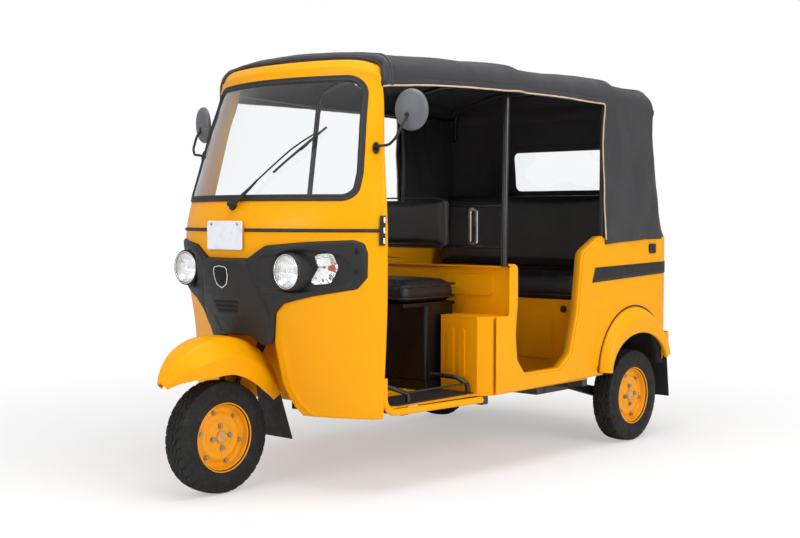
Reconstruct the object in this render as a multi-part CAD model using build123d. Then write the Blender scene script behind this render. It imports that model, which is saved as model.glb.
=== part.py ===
from build123d import *
import os
from functools import cache
from math import atan, cos, degrees, radians, sin

# Three-wheeled auto rickshaw.
# Millimetres. x runs forward from the rear axle, y to the left, z up from the ground.

# ---------------------------------------------------------------- driving dimensions
wheelbase = 2000.0
tyre_radius = 212.0
tyre_width = 106.0
bead_radius = 120.0
tyre_wall = 11.0
rim_flange_radius = 131.0
rim_half_width = 42.0
rim_sheet = 4.0
hub_radius = 30.0
hub_half_length = 34.0
axle_radius = 12.0
bearing_clearance = 0.05
rear_track_half = 556.0
arm_y = rear_track_half - tyre_width / 2 - 28.0
arm_half_height = 26.0
hub_bolt_circle = 42.0
hub_bolt_radius = 6.0

steer_ground_x = 2050.0
steer_rake_slope = 0.5095
column_radius = 17.0
column_low_z = 430.0
column_top_z = 985.0
fork_side_y = -79.0
fork_tube_radius = 11.0
link_pivot_x = 1850.0
link_pivot_z = 296.0
link_width = 12.0
damper_radius = 15.0
grip_half_width = 330.0
grip_radius = 16.0

sheet = 6.0
flange_depth = 26.0
mirror_foot_z = 1298.0
header_crown_z = 1620.0
header_end_z = 1556.0
body_half_width = 600.0
cab_rear_x = 1655.0
mask_proud = 14.0
mask_centre_proud = 34.0
glass_thickness = 5.0
headlamp_radius = 62.0

floor_z = 330.0
floor_sheet = 8.0
outrigger_z = floor_z - floor_sheet + 202.0
sill_radius = 13.0
well_half_width = 205.0
well_back_x = 1590.0
well_roof_z = 668.0
head_below = 26.0
head_above = 40.0
head_wall = 9.0
gusset_y = 21.0
wheel_gap_half = 168.0

partition_x = 955.0
partition_top_z = 838.0
locker_front_x = 1110.0
locker_top_z = 638.0
locker_inner_y = 352.0

rail_radius = 8.0
hoop_radius = 12.0
hoop_x = 988.0
hoop_foot_z = partition_top_z + 0.5
bow_gap = 0.8
bow_foot_z = 1440.0
post_x = 268.0
rear_bow_x = -150.0
hem_rail_z = 1552.0
header_rail_x = 1629.8
header_rail_y = 474.0

seat_box_rear_x = 1003.0
seat_box_front_x = 1190.0
seat_box_half_width = 340.0
driver_seat_z = 690.0
driver_cushion_thickness = 92.0

bench_front_x = 400.0
bench_panel_x = 372.0
bench_z = 668.0
bench_cushion_thickness = 118.0
bench_half_width = 540.0
bench_back_top_z = 1163.0

quarter_top_z = 946.0
side_low_z = 326.0
rear_x = -372.0
fender_radius = 288.0
fender_centre_z = 338.0
fender_proud = 40.0
fender_opening_radius = 240.0
rear_corner_radius = 110.0

canopy_sheet = 8.0
canopy_shoulder_radius = 78.0
canopy_low_z = 942.0
tailgate_low_z = 505.0
tailgate_top_z = 905.0
tailgate_half_width = 440.0
tailgate_thickness = 14.0
bumper_top_z = 486.0
flap_x = -296.0
hinge_x = rear_x - 4.0
hinge_z = 495.0
hinge_pin_radius = 3.5
hinge_places = (-300.0, 300.0)
lid_gap = 6.0
seat_gap = 0.3

# Cab shell, one circular arc in plan at each level:
# level z, foremost x on the centreline, x of the rear edge, half width at the rear edge
cab_sections = [
    (292, 1790, cab_rear_x, 528),
    (450, 1838, cab_rear_x, 535),
    (600, 1880, cab_rear_x, 543),
    (750, 1930, cab_rear_x, 548),
    (880, 1950, cab_rear_x, 548),
    (986, 1955, cab_rear_x, 545),
    (1103, 1912, cab_rear_x, 542),
    (1553, 1739, 1632, 490),
    (1622, 1705, 1620, 485),
]
# Canopy, one outline across the vehicle at each station:
# x, half width, height of the shoulder corner, height of the crown
canopy_sections = [
    (1700, 520, 1596, 1634),
    (1465, 574, 1612, 1660),
    (885, 604, 1640, 1702),
    (186, 612, 1650, 1716),
    (-60, 611, 1622, 1690),
    (-185, 609, 1616, 1690),
    (-262, 610, 1590, 1668),
    (-310, 603, 1562, 1645),
    (-350, 578, 1530, 1612),
    (-392, 515, 1490, 1575),
    (-440, 440, 1440, 1530),
]


# ---------------------------------------------------------------- helpers
def steer_x(z):
    """x of the raked steering axis at height z."""
    return steer_ground_x - steer_rake_slope * z


def plan_section(level, growth, tail=0.0):
    """Face bounded by the front arc and the straight rear edge, grown outwards by growth.
    A tail carries the two sides straight back behind the rear edge."""
    z, front, rear, half = level
    wide = half + growth
    edges = ThreePointArc((rear, -wide), (front + growth, 0), (rear, wide))
    if tail:
        edges += Polyline((rear, wide), (rear - tail, wide), (rear - tail, -wide), (rear, -wide))
    else:
        edges += Line((rear, wide), (rear, -wide))
    return Pos(0, 0, z) * make_face(edges)


@cache
def cab_volume(growth, tail=0.0):
    """The cab's outer form grown by growth, its sides carried back by tail."""
    return loft([plan_section(level, growth, tail) for level in cab_sections], ruled=True)


def cab_level(z):
    """Foremost x, rear x and rear half width of the cowl at height z."""
    for low, high in zip(cab_sections, cab_sections[1:]):
        if low[0] <= z <= high[0]:
            share = (z - low[0]) / (high[0] - low[0])
            return [a + share * (b - a) for a, b in zip(low[1:], high[1:])]


def cab_front_x(y, z):
    """x of the cowl's outer surface at a given y and z."""
    front, rear, half = cab_level(z)
    depth = front - rear
    radius = (half ** 2 + depth ** 2) / (2 * depth)
    return front - radius + (radius ** 2 - y ** 2) ** 0.5


def side_prism(points, radius, y_low, y_high):
    """Closed outline in x and z, extruded from y_low to y_high."""
    face = make_face(FilletPolyline(*points, radius=radius, close=True))
    return Pos(0, y_low, 0) * extrude(Plane.XZ * face, -(y_high - y_low))


def front_prism(points, radius, x_low, x_high):
    """Closed outline in y and z, extruded from x_low to x_high."""
    face = make_face(FilletPolyline(*points, radius=radius, close=True))
    return Pos(x_low, 0, 0) * extrude(Plane.YZ * face, x_high - x_low)


def plan_prism(points, radius, z_low, z_high):
    """Closed outline in x and y, extruded from z_low to z_high."""
    face = make_face(FilletPolyline(*points, radius=radius, close=True))
    return Pos(0, 0, z_low) * extrude(face, z_high - z_low)


def box(x_low, x_high, y_low, y_high, z_low, z_high):
    size = (x_high - x_low, y_high - y_low, z_high - z_low)
    middle = ((x_low + x_high) / 2, (y_low + y_high) / 2, (z_low + z_high) / 2)
    return Pos(*middle) * Box(*size)


def tube(points, bends, radius):
    """Round bar along a bent path; bends is one radius or one for each inner point."""
    path = FilletPolyline(*points, radius=bends)
    start = Plane(origin=path @ 0, z_dir=path % 0)
    return sweep(start * Circle(radius), path=path)


def rod(start, end, radius):
    """Straight round bar between two points."""
    axis = Vector(*end) - Vector(*start)
    return extrude(Plane(origin=start, z_dir=axis) * Circle(radius), axis.length)


def mirrored(shape):
    """The other side's copy, mirrored in the centre plane."""
    return mirror(shape, about=Plane.XZ)


def pair(shape):
    """Two separate solids, one on each side."""
    return Compound(children=[*shape.solids(), *mirrored(shape).solids()])


def gather(*shapes):
    """One node of separate solids."""
    return Compound(children=[solid for shape in shapes for solid in shape.solids()])


# ---------------------------------------------------------------- wheels
wheel_plane = Plane(origin=(0, 0, 0), x_dir=(0, 1, 0), z_dir=(1, 0, 0))


def tyre():
    """Hollow tyre with rounded shoulders, open towards the rim, its axle along y."""
    half = tyre_width / 2
    mid = (bead_radius + tyre_radius) / 2
    foot = rim_half_width - 0.2
    above = rim_flange_radius + 2
    profile = Polyline(
        (-foot, bead_radius), (-foot, above), (-half, mid), (-half + 6, tyre_radius - 16),
        (-half + 20, tyre_radius), (half - 20, tyre_radius), (half - 6, tyre_radius - 16), (half, mid),
        (foot, above), (foot, bead_radius), (foot - tyre_wall, bead_radius), (half - tyre_wall, mid),
        (half - 2 * tyre_wall, tyre_radius - 1.6 * tyre_wall),
        (-half + 2 * tyre_wall, tyre_radius - 1.6 * tyre_wall),
        (-half + tyre_wall, mid), (-foot + tyre_wall, bead_radius), close=True)
    return revolve(wheel_plane * make_face(profile), Axis.Y)


def rim(face_side):
    """Pressed split rim with a dished disc and a hub bored for the axle.
    face_side is +1 or -1: the side towards which the disc's hollow opens."""
    seat = bead_radius - 0.2
    inner = seat - rim_sheet
    half = rim_half_width
    barrel = Polyline(
        (-half, rim_flange_radius), (-half - rim_sheet, rim_flange_radius), (-half - rim_sheet, inner),
        (-6, inner), (-6, seat - 26), (half - 20, seat - 26), (half - 14, inner), (half + rim_sheet, inner),
        (half + rim_sheet, rim_flange_radius), (half, rim_flange_radius), (half, seat),
        (half - 16, seat), (half - 22, seat - 22), (2, seat - 22), (2, seat), (-half, seat), close=True)
    disc = Polyline(
        (-6, seat - 24), (-6, 66), (-24, 58), (-24, hub_radius - 4), (-16, hub_radius - 4), (-16, 52),
        (2, 62), (2, seat - 24), close=True)
    hub = Polyline(
        (-hub_half_length, hub_radius - 3), (-hub_half_length, axle_radius + bearing_clearance),
        (hub_half_length, axle_radius + bearing_clearance), (hub_half_length, hub_radius - 8),
        (hub_half_length - 8, hub_radius), (-20, hub_radius), close=True)
    wheel = Part() + [revolve(wheel_plane * make_face(line), Axis.Y) for line in (barrel, disc, hub)]
    for turn in range(4):
        angle = radians(90 * turn + 45)
        centre = (hub_bolt_circle * cos(angle), -30, hub_bolt_circle * sin(angle))
        wheel += rod(centre, (centre[0], -8, centre[2]), hub_bolt_radius)
    return wheel if face_side > 0 else Rot(0, 0, 180) * wheel


front_hub = (wheelbase, 0, tyre_radius)
rear_hubs = {"left": (0, rear_track_half, tyre_radius), "right": (0, -rear_track_half, tyre_radius)}


# ---------------------------------------------------------------- steering
steer_axis_direction = Vector(-steer_rake_slope, 0, 1).normalized()


@cache
def steering_column():
    """Raked column, crown and the one-sided fork tube down to the link's pivot."""
    low = (steer_x(column_low_z), 0, column_low_z)
    top = (steer_x(column_top_z), 0, column_top_z)
    column = rod(low, top, column_radius)
    crown = rod((low[0], 0, low[2] - 14), (low[0], 0, low[2] + 20), column_radius + 12)
    leg = tube([(low[0], -8, low[2]), (low[0] - 4, fork_side_y + 6, low[2] - 10),
                (link_pivot_x, fork_side_y, link_pivot_z)], 30, fork_tube_radius)
    eye = rod((link_pivot_x, fork_side_y - 15, link_pivot_z), (link_pivot_x, fork_side_y + 15, link_pivot_z), 20)
    bracket = rod((low[0] + 2, fork_side_y, low[2] - 4), (low[0] + 44, fork_side_y - 4, low[2] + 6), 12)
    return column + crown + leg + eye + bracket


@cache
def front_link():
    """Leading link with the axle at its front end, and the spring damper above it."""
    y = fork_side_y
    pivot = (link_pivot_x, link_pivot_z)
    hub = (wheelbase, tyre_radius)
    slope = atan((hub[1] - pivot[1]) / (hub[0] - pivot[0]))
    start = (pivot[0] + 20.3 * cos(slope), y, pivot[1] + 20.3 * sin(slope))
    arm = rod(start, (hub[0] - 10, y, hub[1] + 5), link_width)
    boss = rod((hub[0], y - 16, hub[1]), (hub[0], -hub_half_length - 1.5, hub[1]), 24)
    axle = rod((hub[0], -hub_half_length - 2, hub[1]), (hub[0], hub_half_length - 4, hub[1]), axle_radius)
    return arm + boss + axle


@cache
def front_damper():
    """Spring damper from the link up to the fork's bracket."""
    foot = Vector(wheelbase - 46, fork_side_y - 2, tyre_radius + 42)
    head = Vector(steer_x(column_low_z) + 62, fork_side_y - 4, column_low_z + 6)
    run = head - foot
    lower = foot + run * 0.1
    upper = foot + run * 0.86
    body = rod(tuple(foot), tuple(head), 8)
    body += rod(tuple(lower), tuple(upper), damper_radius)
    return body - front_link() - steering_column()


def handlebar():
    """Bar bent back from a central clamp, with a grip at each end."""
    top = (steer_x(column_top_z), 0, column_top_z)
    clamp = rod(top, tuple(Vector(*top) + steer_axis_direction * 26), column_radius + 6)
    bar = tube([(top[0] - 96, -grip_half_width, top[2] - 6), (top[0] - 20, -150, top[2] + 24),
                (top[0] - 8, -60, top[2] + 12), (top[0] - 8, 60, top[2] + 12),
                (top[0] - 20, 150, top[2] + 24), (top[0] - 96, grip_half_width, top[2] - 6)], 40, 11)
    return clamp + bar


def handlebar_grips():
    top = (steer_x(column_top_z), 0, column_top_z)
    end = Vector(top[0] - 96, grip_half_width, top[2] - 6)
    inner = Vector(top[0] - 20, 150, top[2] + 24)
    along = (inner - end).normalized()
    grip = rod(tuple(end - along * 6), tuple(end + along * 118), grip_radius)
    grip -= rod(tuple(end), tuple(inner), 11)
    return pair(grip)


def mudguard_outline(station, growth):
    """Angle round the wheel, crest radius, half width and depth of side, grown by growth."""
    angle, crest, half, depth = station
    plane = Plane(origin=(wheelbase, 0, tyre_radius), x_dir=(0, 1, 0),
                  z_dir=(sin(radians(angle)), 0, -cos(radians(angle))))
    half += growth
    top = crest + growth
    points = [(-half, crest - depth), (-half, crest - depth * 0.55), (-half * 0.52, top - 6),
              (half * 0.52, top - 6), (half, crest - depth * 0.55), (half, crest - depth)]
    return plane * make_face(Polyline(*points, close=True))


mudguard_stations = [
    (34, 338, 26, 40),
    (50, 362, 66, 88),
    (68, 380, 90, 122),
    (90, 379, 101, 136),
    (112, 366, 101, 138),
    (135, 340, 92, 110),
    (150, 322, 80, 70),
]


@cache
def front_mudguard():
    """Arched sheet over the front wheel, its stations turned about the axle."""
    outer = loft([mudguard_outline(s, 0) for s in mudguard_stations], ruled=True)
    inner = loft([mudguard_outline((a, c, h, d + 2 * sheet), -sheet * 0.6) for a, c, h, d in mudguard_stations],
                 ruled=True)
    low = (steer_x(column_low_z), 0, column_low_z)
    top = (steer_x(column_top_z), 0, column_top_z)
    hole = rod(low, top, column_radius + seat_gap)
    return outer - inner - hole - steering_column() - front_damper()


def front_mudflap():
    """Black rubber flap hung from the mudguard's rear end."""
    low = (1690, 165)
    top = (1740, 372)
    slope = degrees(atan((top[0] - low[0]) / (top[1] - low[1])))
    outline = Polyline((-62, 0), (62, 0), (88, -205), (-88, -205), close=True)
    plane = Plane(origin=(top[0], 0, top[1]), x_dir=(0, 1, 0), z_dir=(cos(radians(slope)), 0, -sin(radians(slope))))
    return extrude(plane * make_face(outline), 5) - front_mudguard()


# ---------------------------------------------------------------- cab
screen_outline = [(-490, 1103), (490, 1103), (502, 1300), (446, 1555), (-446, 1555), (-502, 1300)]
screen_corner_radii = [70, 70, 400, 80, 80, 400]


def screen_prism(inset):
    """The windscreen's outline seen from the front, moved in by inset."""
    points = FilletPolyline(*screen_outline, radius=screen_corner_radii, close=True)
    face = offset(make_face(points), amount=-inset)
    return Pos(1500, 0, 0) * extrude(Plane.YZ * face, 600)


wheel_gap_outline = [
    (-wheel_gap_half - 110, 240), (wheel_gap_half + 110, 240), (wheel_gap_half + 24, 318),
    (wheel_gap_half - 8, 400), (wheel_gap_half - 8, 560), (wheel_gap_half, well_roof_z),
    (-wheel_gap_half, well_roof_z), (-wheel_gap_half + 8, 560), (-wheel_gap_half + 8, 400),
    (-wheel_gap_half - 24, 318),
]


def header_form(drop):
    """Everything under the header's crowned top, lowered by drop."""
    half = 560
    top = ThreePointArc((-half, header_end_z - drop), (0, header_crown_z - drop), (half, header_end_z - drop))
    sides = Polyline((half, header_end_z - drop), (half, 200), (-half, 200), (-half, header_end_z - drop))
    return Pos(1500, 0, 0) * extrude(Plane.YZ * make_face(top + sides), 600)


def cab_shell():
    """Hollow cowl with the windscreen and wheel openings and a folded rear flange."""
    outer = cab_volume(0) & header_form(0)
    hollow = cab_volume(-sheet, tail=60) & header_form(sheet)
    shell = outer - hollow
    inner_edge = cab_volume(-flange_depth, tail=60) & header_form(flange_depth)
    flange = (hollow - inner_edge) & box(1500, cab_rear_x + sheet, -620, 620, 292, 1650) & outer
    shell += flange
    shell -= screen_prism(7)
    shell -= front_prism(wheel_gap_outline, 12, 1500, 2100)
    return shell


def wheel_well():
    """Panel that closes the cowl behind the front wheel, with a hole for the column."""
    outer = [(well_back_x - sheet, 300), (well_back_x - sheet, 560), (1676, well_roof_z + sheet),
             (1872, well_roof_z + sheet), (1866, 300)]
    inner = [(well_back_x, 280), (well_back_x, 557), (1680, well_roof_z), (1900, well_roof_z), (1900, 280)]
    w = well_half_width
    panel = side_prism(outer, 6, -w - sheet, w + sheet) - side_prism(inner, 5, -w, w)
    panel &= cab_volume(-sheet - seat_gap, tail=120)
    low, high = ((steer_x(z), 0, z) for z in (well_roof_z - head_below, well_roof_z + head_above))
    panel += rod(low, high, column_radius + head_wall)
    for y in (-gusset_y, gusset_y):
        web = side_prism([(steer_x(well_roof_z) + 30, well_roof_z + 3), (steer_x(well_roof_z) - 90, well_roof_z + 3),
                          (steer_x(well_roof_z) - 34, well_roof_z + 34)], 3, y - 2, y + 2)
        panel += web
    return panel - rod((steer_x(300), 0, 300), (steer_x(900), 0, 900), column_radius + bearing_clearance)


def windshield_gasket():
    band = cab_volume(6) - cab_volume(-14, tail=60)
    return band & (screen_prism(0 + 7) - screen_prism(26))


def windshield_glass():
    band = cab_volume(-2) - cab_volume(-2 - glass_thickness, tail=60)
    return band & screen_prism(26)


mask_outline_half = [
    (0, 880), (112, 880), (188, 928), (340, 944), (474, 950), (505, 925), (503, 800), (470, 768),
    (340, 744), (235, 714), (196, 680), (160, 572), (70, 590), (0, 600),
]


def mask_levels(centre_proud):
    """Plan sections of the mask, standing proud in the middle and meeting the cowl at its ends."""
    levels = []
    for z, front, rear, half in cab_sections[1:6]:
        levels.append((z, front + centre_proud, rear - 20, half))
    return levels


def nose_mask():
    """Moulded black mask across the nose: centre shield and two lamp wings."""
    points = mask_outline_half[1:-1]
    outline = points + [(-y, z) for y, z in reversed(points)]
    prism = front_prism(outline, 10, 1700, 2100)
    outer = loft([plan_section(level, 0) for level in mask_levels(mask_centre_proud)], ruled=True)
    mask = (outer & prism) - cab_volume(seat_gap)
    lamp = rod((1800, 285, 835), (2100, 285, 835), headlamp_radius + 5)
    lens = front_prism(turn_outline, 12, 1700, 2100)
    mask -= lamp + mirrored(lamp) + lens + mirrored(lens)
    for row in range(3):
        z = 728 - 16 * row
        mask -= box(1925, 2000, -62 + 6 * row, 62 - 6 * row, z - 3, z + 3)
    return mask


turn_outline = [(348, 789), (408, 797), (430, 850), (414, 903), (354, 903), (366, 850)]


def headlamps():
    """Round lamps set in the mask: bowl, rim and lens."""
    lamp = rod((1858, 285, 835), (1934, 285, 835), headlamp_radius)
    lamp -= cab_volume(seat_gap)
    return pair(lamp)


def turn_signals():
    lens = front_prism(turn_outline, 12, 1790, 1900)
    lens = (lens & loft([plan_section(level, -2) for level in mask_levels(mask_centre_proud)], ruled=True))
    return pair(lens - cab_volume(seat_gap))


def number_plate():
    """Blank plate on the cowl above the mask."""
    plate = extrude(Plane(origin=(1958, 0, 966), x_dir=(0, 1, 0), z_dir=(1, 0, 0)) * RectangleRounded(200, 108, 10), 3)
    return plate


def waist_bead():
    """Black bead round the cowl at the waist."""
    band = cab_volume(4) - cab_volume(0)
    bead = band & box(cab_rear_x, 2100, -620, 620, 981, 991)
    return bead - box(1900, 2100, -101, 101, 900, 1040)


def wiper():
    """Pivot, arm and blade resting on the glass."""
    def above_glass(y, z, height):
        return (cab_front_x(y, z) + height, y, z)
    boss = rod(above_glass(22, 1074, -12), above_glass(22, 1076, 28), 13) - cab_volume(seat_gap)
    arm = rod(above_glass(22, 1074, 20), above_glass(255, 1288, 17), 4.5)
    blade = rod(above_glass(160, 1201, 7), above_glass(332, 1366, 7), 5)
    knuckle = rod(above_glass(252, 1286, 6), above_glass(252, 1286, 22), 6)
    return boss + arm + blade + knuckle


def mirrors():
    """Round mirrors on bent stalks from the cowl's rear edge."""
    head = Plane(origin=(1573, 592, 1424), z_dir=(0.9, 0.28, -0.05))
    shell = loft([head * Ellipse(66, 76), head * (Pos(0, 0, 6) * Ellipse(66, 76)),
                  head * (Pos(0, 0, 20) * Ellipse(40, 48))], ruled=True)
    rear, half = cab_level(mirror_foot_z)[1:]
    foot_x = rear + 16
    foot = rod((foot_x, half - 20, mirror_foot_z), (foot_x - 4, half + 10, mirror_foot_z), 15)
    foot -= cab_volume(seat_gap, tail=60)
    stalk = tube([(foot_x - 3, half + 6, mirror_foot_z), (foot_x - 10, half + 44, mirror_foot_z),
                  (1592, 602, 1360), (1584, 597, 1420)], 26, 5)
    return pair(shell + stalk + foot)


def dashboard():
    """Ledge under the windscreen with an instrument pod."""
    ledge = cab_volume(-sheet - seat_gap, tail=0) & box(1700, 2000, -600, 600, 1010, 1032)
    pod = box(1704, 1762, -110, 110, 1032, 1086)
    hood = fillet(pod.edges().filter_by(Axis.Y), 14)
    return ledge + hood


# ---------------------------------------------------------------- floor and frame
def floor_pan():
    """Pressed floor, rising at the front to meet the wheel well."""
    half = body_half_width - 14
    outline = [(bench_panel_x - 8, -half), (1070, -half), (1120, -520 - 20), (well_back_x + 34, -516),
               (well_back_x + 34, -well_half_width - sheet - 1), (well_back_x - sheet - 2, -well_half_width - sheet - 1),
               (well_back_x - sheet - 2, well_half_width + sheet + 1), (well_back_x + 34, well_half_width + sheet + 1),
               (well_back_x + 34, 516), (1120, 540), (1070, half), (bench_panel_x - 8, half)]
    pan = plan_prism(outline, 4, floor_z - floor_sheet, floor_z)
    for number in range(5):
        y = -240 + 120 * number
        pan += box(1215, 1560, y - 18, y + 18, floor_z, floor_z + 3)
    return pan


def floor_mats():
    """Black mats on the driver's and the passengers' floor."""
    rear = box(bench_panel_x + 14, partition_x - 16, -470, 470, floor_z, floor_z + 5)
    return rear


def sills():
    """Tube along each doorway of the driver's cab."""
    x = cab_rear_x - sill_radius - seat_gap
    z = floor_z - floor_sheet - sill_radius
    path = [(x, 522, 440), (x, 522, z), (1112, 566, z)]
    return pair(tube(path, 60, sill_radius))


def chassis():
    """Centre spine, cross members and the rear subframe that carries the engine."""
    top = floor_z - floor_sheet
    spine = box(340, well_back_x - 20, -45, 45, top - 60, top)
    spine -= box(330, well_back_x - 10, -40, 40, top - 55, top - 5)
    frame = spine
    for x in (1500, 1080, 700, 350):
        frame += box(x - 20, x + 20, -560 + (60 if x > 1200 else 0), 560 - (60 if x > 1200 else 0), top - 36, top)
    rail = side_prism([(360, top - 36), (360, top), (250, top + 232), (-320, top + 232), (-320, top + 202),
                       (232, top + 202), (330, top - 36)], 8, 205, 245)
    frame += rail + mirrored(rail)
    frame += box(-320, -290, -205, 205, top + 202, top + 232)
    for x in (-30, 190):
        frame += box(x, x + 30, -205, 205, top + 202, top + 232)
    outrigger = box(-82, -42, 240, arm_y - 8, outrigger_z, top + 232)
    return frame + outrigger + mirrored(outrigger)


def guard_tubes():
    """Bent foot guards at the driver's doorway, joined by a thin rod."""
    foot_y = 505
    front = tube([(1604, foot_y - 70, 412), (1548, foot_y - 10, 388), (1488, foot_y, 366), (1488, foot_y, floor_z)],
                 [24, 22], 9)
    rear = tube([(1196, 372, 404), (1160, foot_y - 30, 396), (1124, foot_y, 366), (1124, foot_y, floor_z)],
                [24, 22], 9)
    link = rod((1500, foot_y + 2, 372), (1130, foot_y + 2, 372), 4)
    return pair(front + rear + link)


# ---------------------------------------------------------------- seats and partition
def driver_seat_box():
    """Tapered black pedestal with a wider skirt and the plate that carries the cushion."""
    half = seat_box_half_width
    body = loft([
        Pos(0, 0, floor_z) * plan_face(seat_box_rear_x + 4, seat_box_front_x - 12, half - 14, 10),
        Pos(0, 0, floor_z + 120) * plan_face(seat_box_rear_x + 4, seat_box_front_x - 8, half - 10, 10),
        Pos(0, 0, driver_seat_z - 14) * plan_face(seat_box_rear_x, seat_box_front_x, half, 22)], ruled=True)
    skirt = Pos(0, 0, floor_z) * extrude(plan_face(seat_box_rear_x - 2, seat_box_front_x, half, 12), 38)
    cavity = box(seat_box_rear_x + 14, seat_box_front_x - 24, -half + 30, half - 30, floor_z - 1, driver_seat_z - 34)
    pan = box(seat_box_rear_x, 1330, -half, half, driver_seat_z - 14, driver_seat_z)
    return body + skirt + pan - cavity


def plan_face(x_low, x_high, half, corner):
    return Pos((x_low + x_high) / 2, 0, 0) * RectangleRounded(x_high - x_low, 2 * half, corner)


def cushion(x_low, x_high, half, z_low, z_high, corner, edge):
    """Padded block with rounded corners and a rolled top edge."""
    block = Pos(0, 0, z_low) * extrude(plan_face(x_low, x_high, half, corner), z_high - z_low)
    top = block.edges().group_by(Axis.Z)[-1]
    return fillet(top, edge)


def driver_seat_cushion():
    low = driver_seat_z
    return cushion(partition_x + 30, 1350, 365, low, low + driver_cushion_thickness, 50, 30)


def driver_backrest():
    """Upright pad carried by the two rails."""
    pad = extrude(Plane(origin=(hoop_x + rail_radius + 1, 0, 1014), x_dir=(0, 1, 0), z_dir=(1, 0, 0))
                  * RectangleRounded(670, 222, 34), 58)
    front = pad.edges().group_by(Axis.X)[-1]
    return fillet(front, 16)


def partition():
    """Wall between driver and passengers, with a rolled top and an embossed field."""
    half = body_half_width - 12
    wall = box(partition_x, partition_x + sheet, -half, half, floor_z, partition_top_z)
    roll = box(partition_x, partition_x + 24, -half, half, partition_top_z - sheet, partition_top_z)
    field = box(partition_x + sheet, partition_x + sheet + 5, -half + 80, half - 80, 716, 802)
    wall += roll + fillet(field.edges().filter_by(Axis.X), 20)
    return wall


def lockers():
    """Boxes on each side of the driver's pedestal: ribbed front, ledge and chamfered corner."""
    outer_y = body_half_width - 12
    x_low = partition_x + sheet
    outline = [(x_low, locker_inner_y), (locker_front_x, locker_inner_y), (locker_front_x, outer_y - 46),
               (locker_front_x - 44, outer_y), (x_low, outer_y)]
    solid = plan_prism(outline, 4, floor_z, locker_top_z)
    t = sheet
    hollow = plan_prism([(x_low - 10, locker_inner_y + t), (locker_front_x - t, locker_inner_y + t),
                         (locker_front_x - t, outer_y - 46 - t), (locker_front_x - 44 - t, outer_y - t),
                         (x_low - 10, outer_y - t)], 3, floor_z - 10, locker_top_z - t)
    locker = solid - hollow
    for y in (locker_inner_y + 56, locker_inner_y + 112):
        rib = box(locker_front_x, locker_front_x + 5, y - 16, y + 16, floor_z + 60, locker_top_z - 50)
        locker += fillet(rib.edges().filter_by(Axis.X), 12)
    return pair(locker)


def canopy_station(x):
    """Half width, shoulder and crown of the hood at x, between the stations of the table."""
    for near, far in zip(canopy_sections, canopy_sections[1:]):
        if far[0] <= x <= near[0]:
            share = (near[0] - x) / (near[0] - far[0])
            return [x] + [a + (b - a) * share for a, b in zip(near[1:], far[1:])]


def bow_path(x, low):
    """Line of a tube that follows the inside of the hood at x, from low on one side to low on the other."""
    beside = zip(canopy_station(x - hoop_radius), canopy_station(x + hoop_radius))
    station = [x] + [min(values) for values in beside][1:]
    return canopy_points(station, canopy_sheet + hoop_radius + bow_gap, low)


def partition_rails():
    """The black hoop over the partition, the backrest's two rails and the hood's frame behind it."""
    bends = [45, 45, 45, 45, 200, 500, 200, 45, 45, 45, 45]
    frame = tube(bow_path(hoop_x, hoop_foot_z), bends, hoop_radius)
    span = canopy_station(hoop_x)[1] - canopy_sheet - hoop_radius - bow_gap
    for z in (1084, 914):
        frame += rod((hoop_x, -span, z), (hoop_x, span, z), rail_radius)
    frame += tube(bow_path(post_x, quarter_top_z + seat_gap), bends, hoop_radius)
    frame += tube(bow_path(rear_bow_x, bow_foot_z), bends, hoop_radius)
    stations = [(header_rail_x, header_rail_y), (hoop_x, span)]
    for x in (post_x, rear_bow_x):
        stations.append((x, canopy_station(x)[1] - canopy_sheet - hoop_radius - bow_gap))
    for (front_x, front_y), (back_x, back_y) in zip(stations, stations[1:]):
        rail = rod((front_x, front_y, hem_rail_z), (back_x, back_y, hem_rail_z), rail_radius)
        frame += pair(rail)
    return frame


def grab_handle():
    """Chrome loop standing between the rails."""
    z_low, z_high = 914 + rail_radius, 1084 - rail_radius
    plane = Plane(origin=(hoop_x, 426, (z_low + z_high) / 2), x_dir=(0, 1, 0), z_dir=(1, 0, 0))
    outer = RectangleRounded(44, z_high - z_low - 0.4, 18)
    inner = RectangleRounded(24, z_high - z_low - 22, 11)
    loop = extrude(plane * (outer - inner), 8)
    return pair(loop)


def passenger_seat_base():
    """Panel under the bench with L-shaped pressings, the deck, and the bulkhead behind the backrest."""
    half = body_half_width - 14
    t = sheet
    panel = box(bench_panel_x - t, bench_panel_x, -half, half, floor_z, bench_z)
    panel += box(-118, bench_panel_x, -half, half, bench_z - t, bench_z)
    bulkhead = Polyline((-118, bench_z - t), (-118, bench_z), (-150, quarter_top_z), (-150 - t, quarter_top_z),
                        (-118 - t, bench_z - t), close=True)
    panel += Pos(0, -half, 0) * extrude(Plane.XZ * make_face(bulkhead), -2 * half)
    pressing = [(120, 470), (220, 470), (220, 400), (400, 400), (400, 600), (120, 600)]
    emboss = front_prism(pressing, 14, bench_panel_x, bench_panel_x + 5)
    return panel + emboss + mirrored(emboss)


def passenger_seat_cushion():
    low = bench_z
    return cushion(-40, bench_front_x, bench_half_width, low, low + bench_cushion_thickness, 40, 34)


def passenger_seat_back():
    """Leaning backrest across the bench."""
    low = bench_z + bench_cushion_thickness + seat_gap
    line = [(80, low), (24, bench_back_top_z), (-74, bench_back_top_z), (-92, quarter_top_z), (-40, low)]
    back = side_prism(line, [20, 36, 30, 8, 8], -bench_half_width, bench_half_width)
    return back


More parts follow.
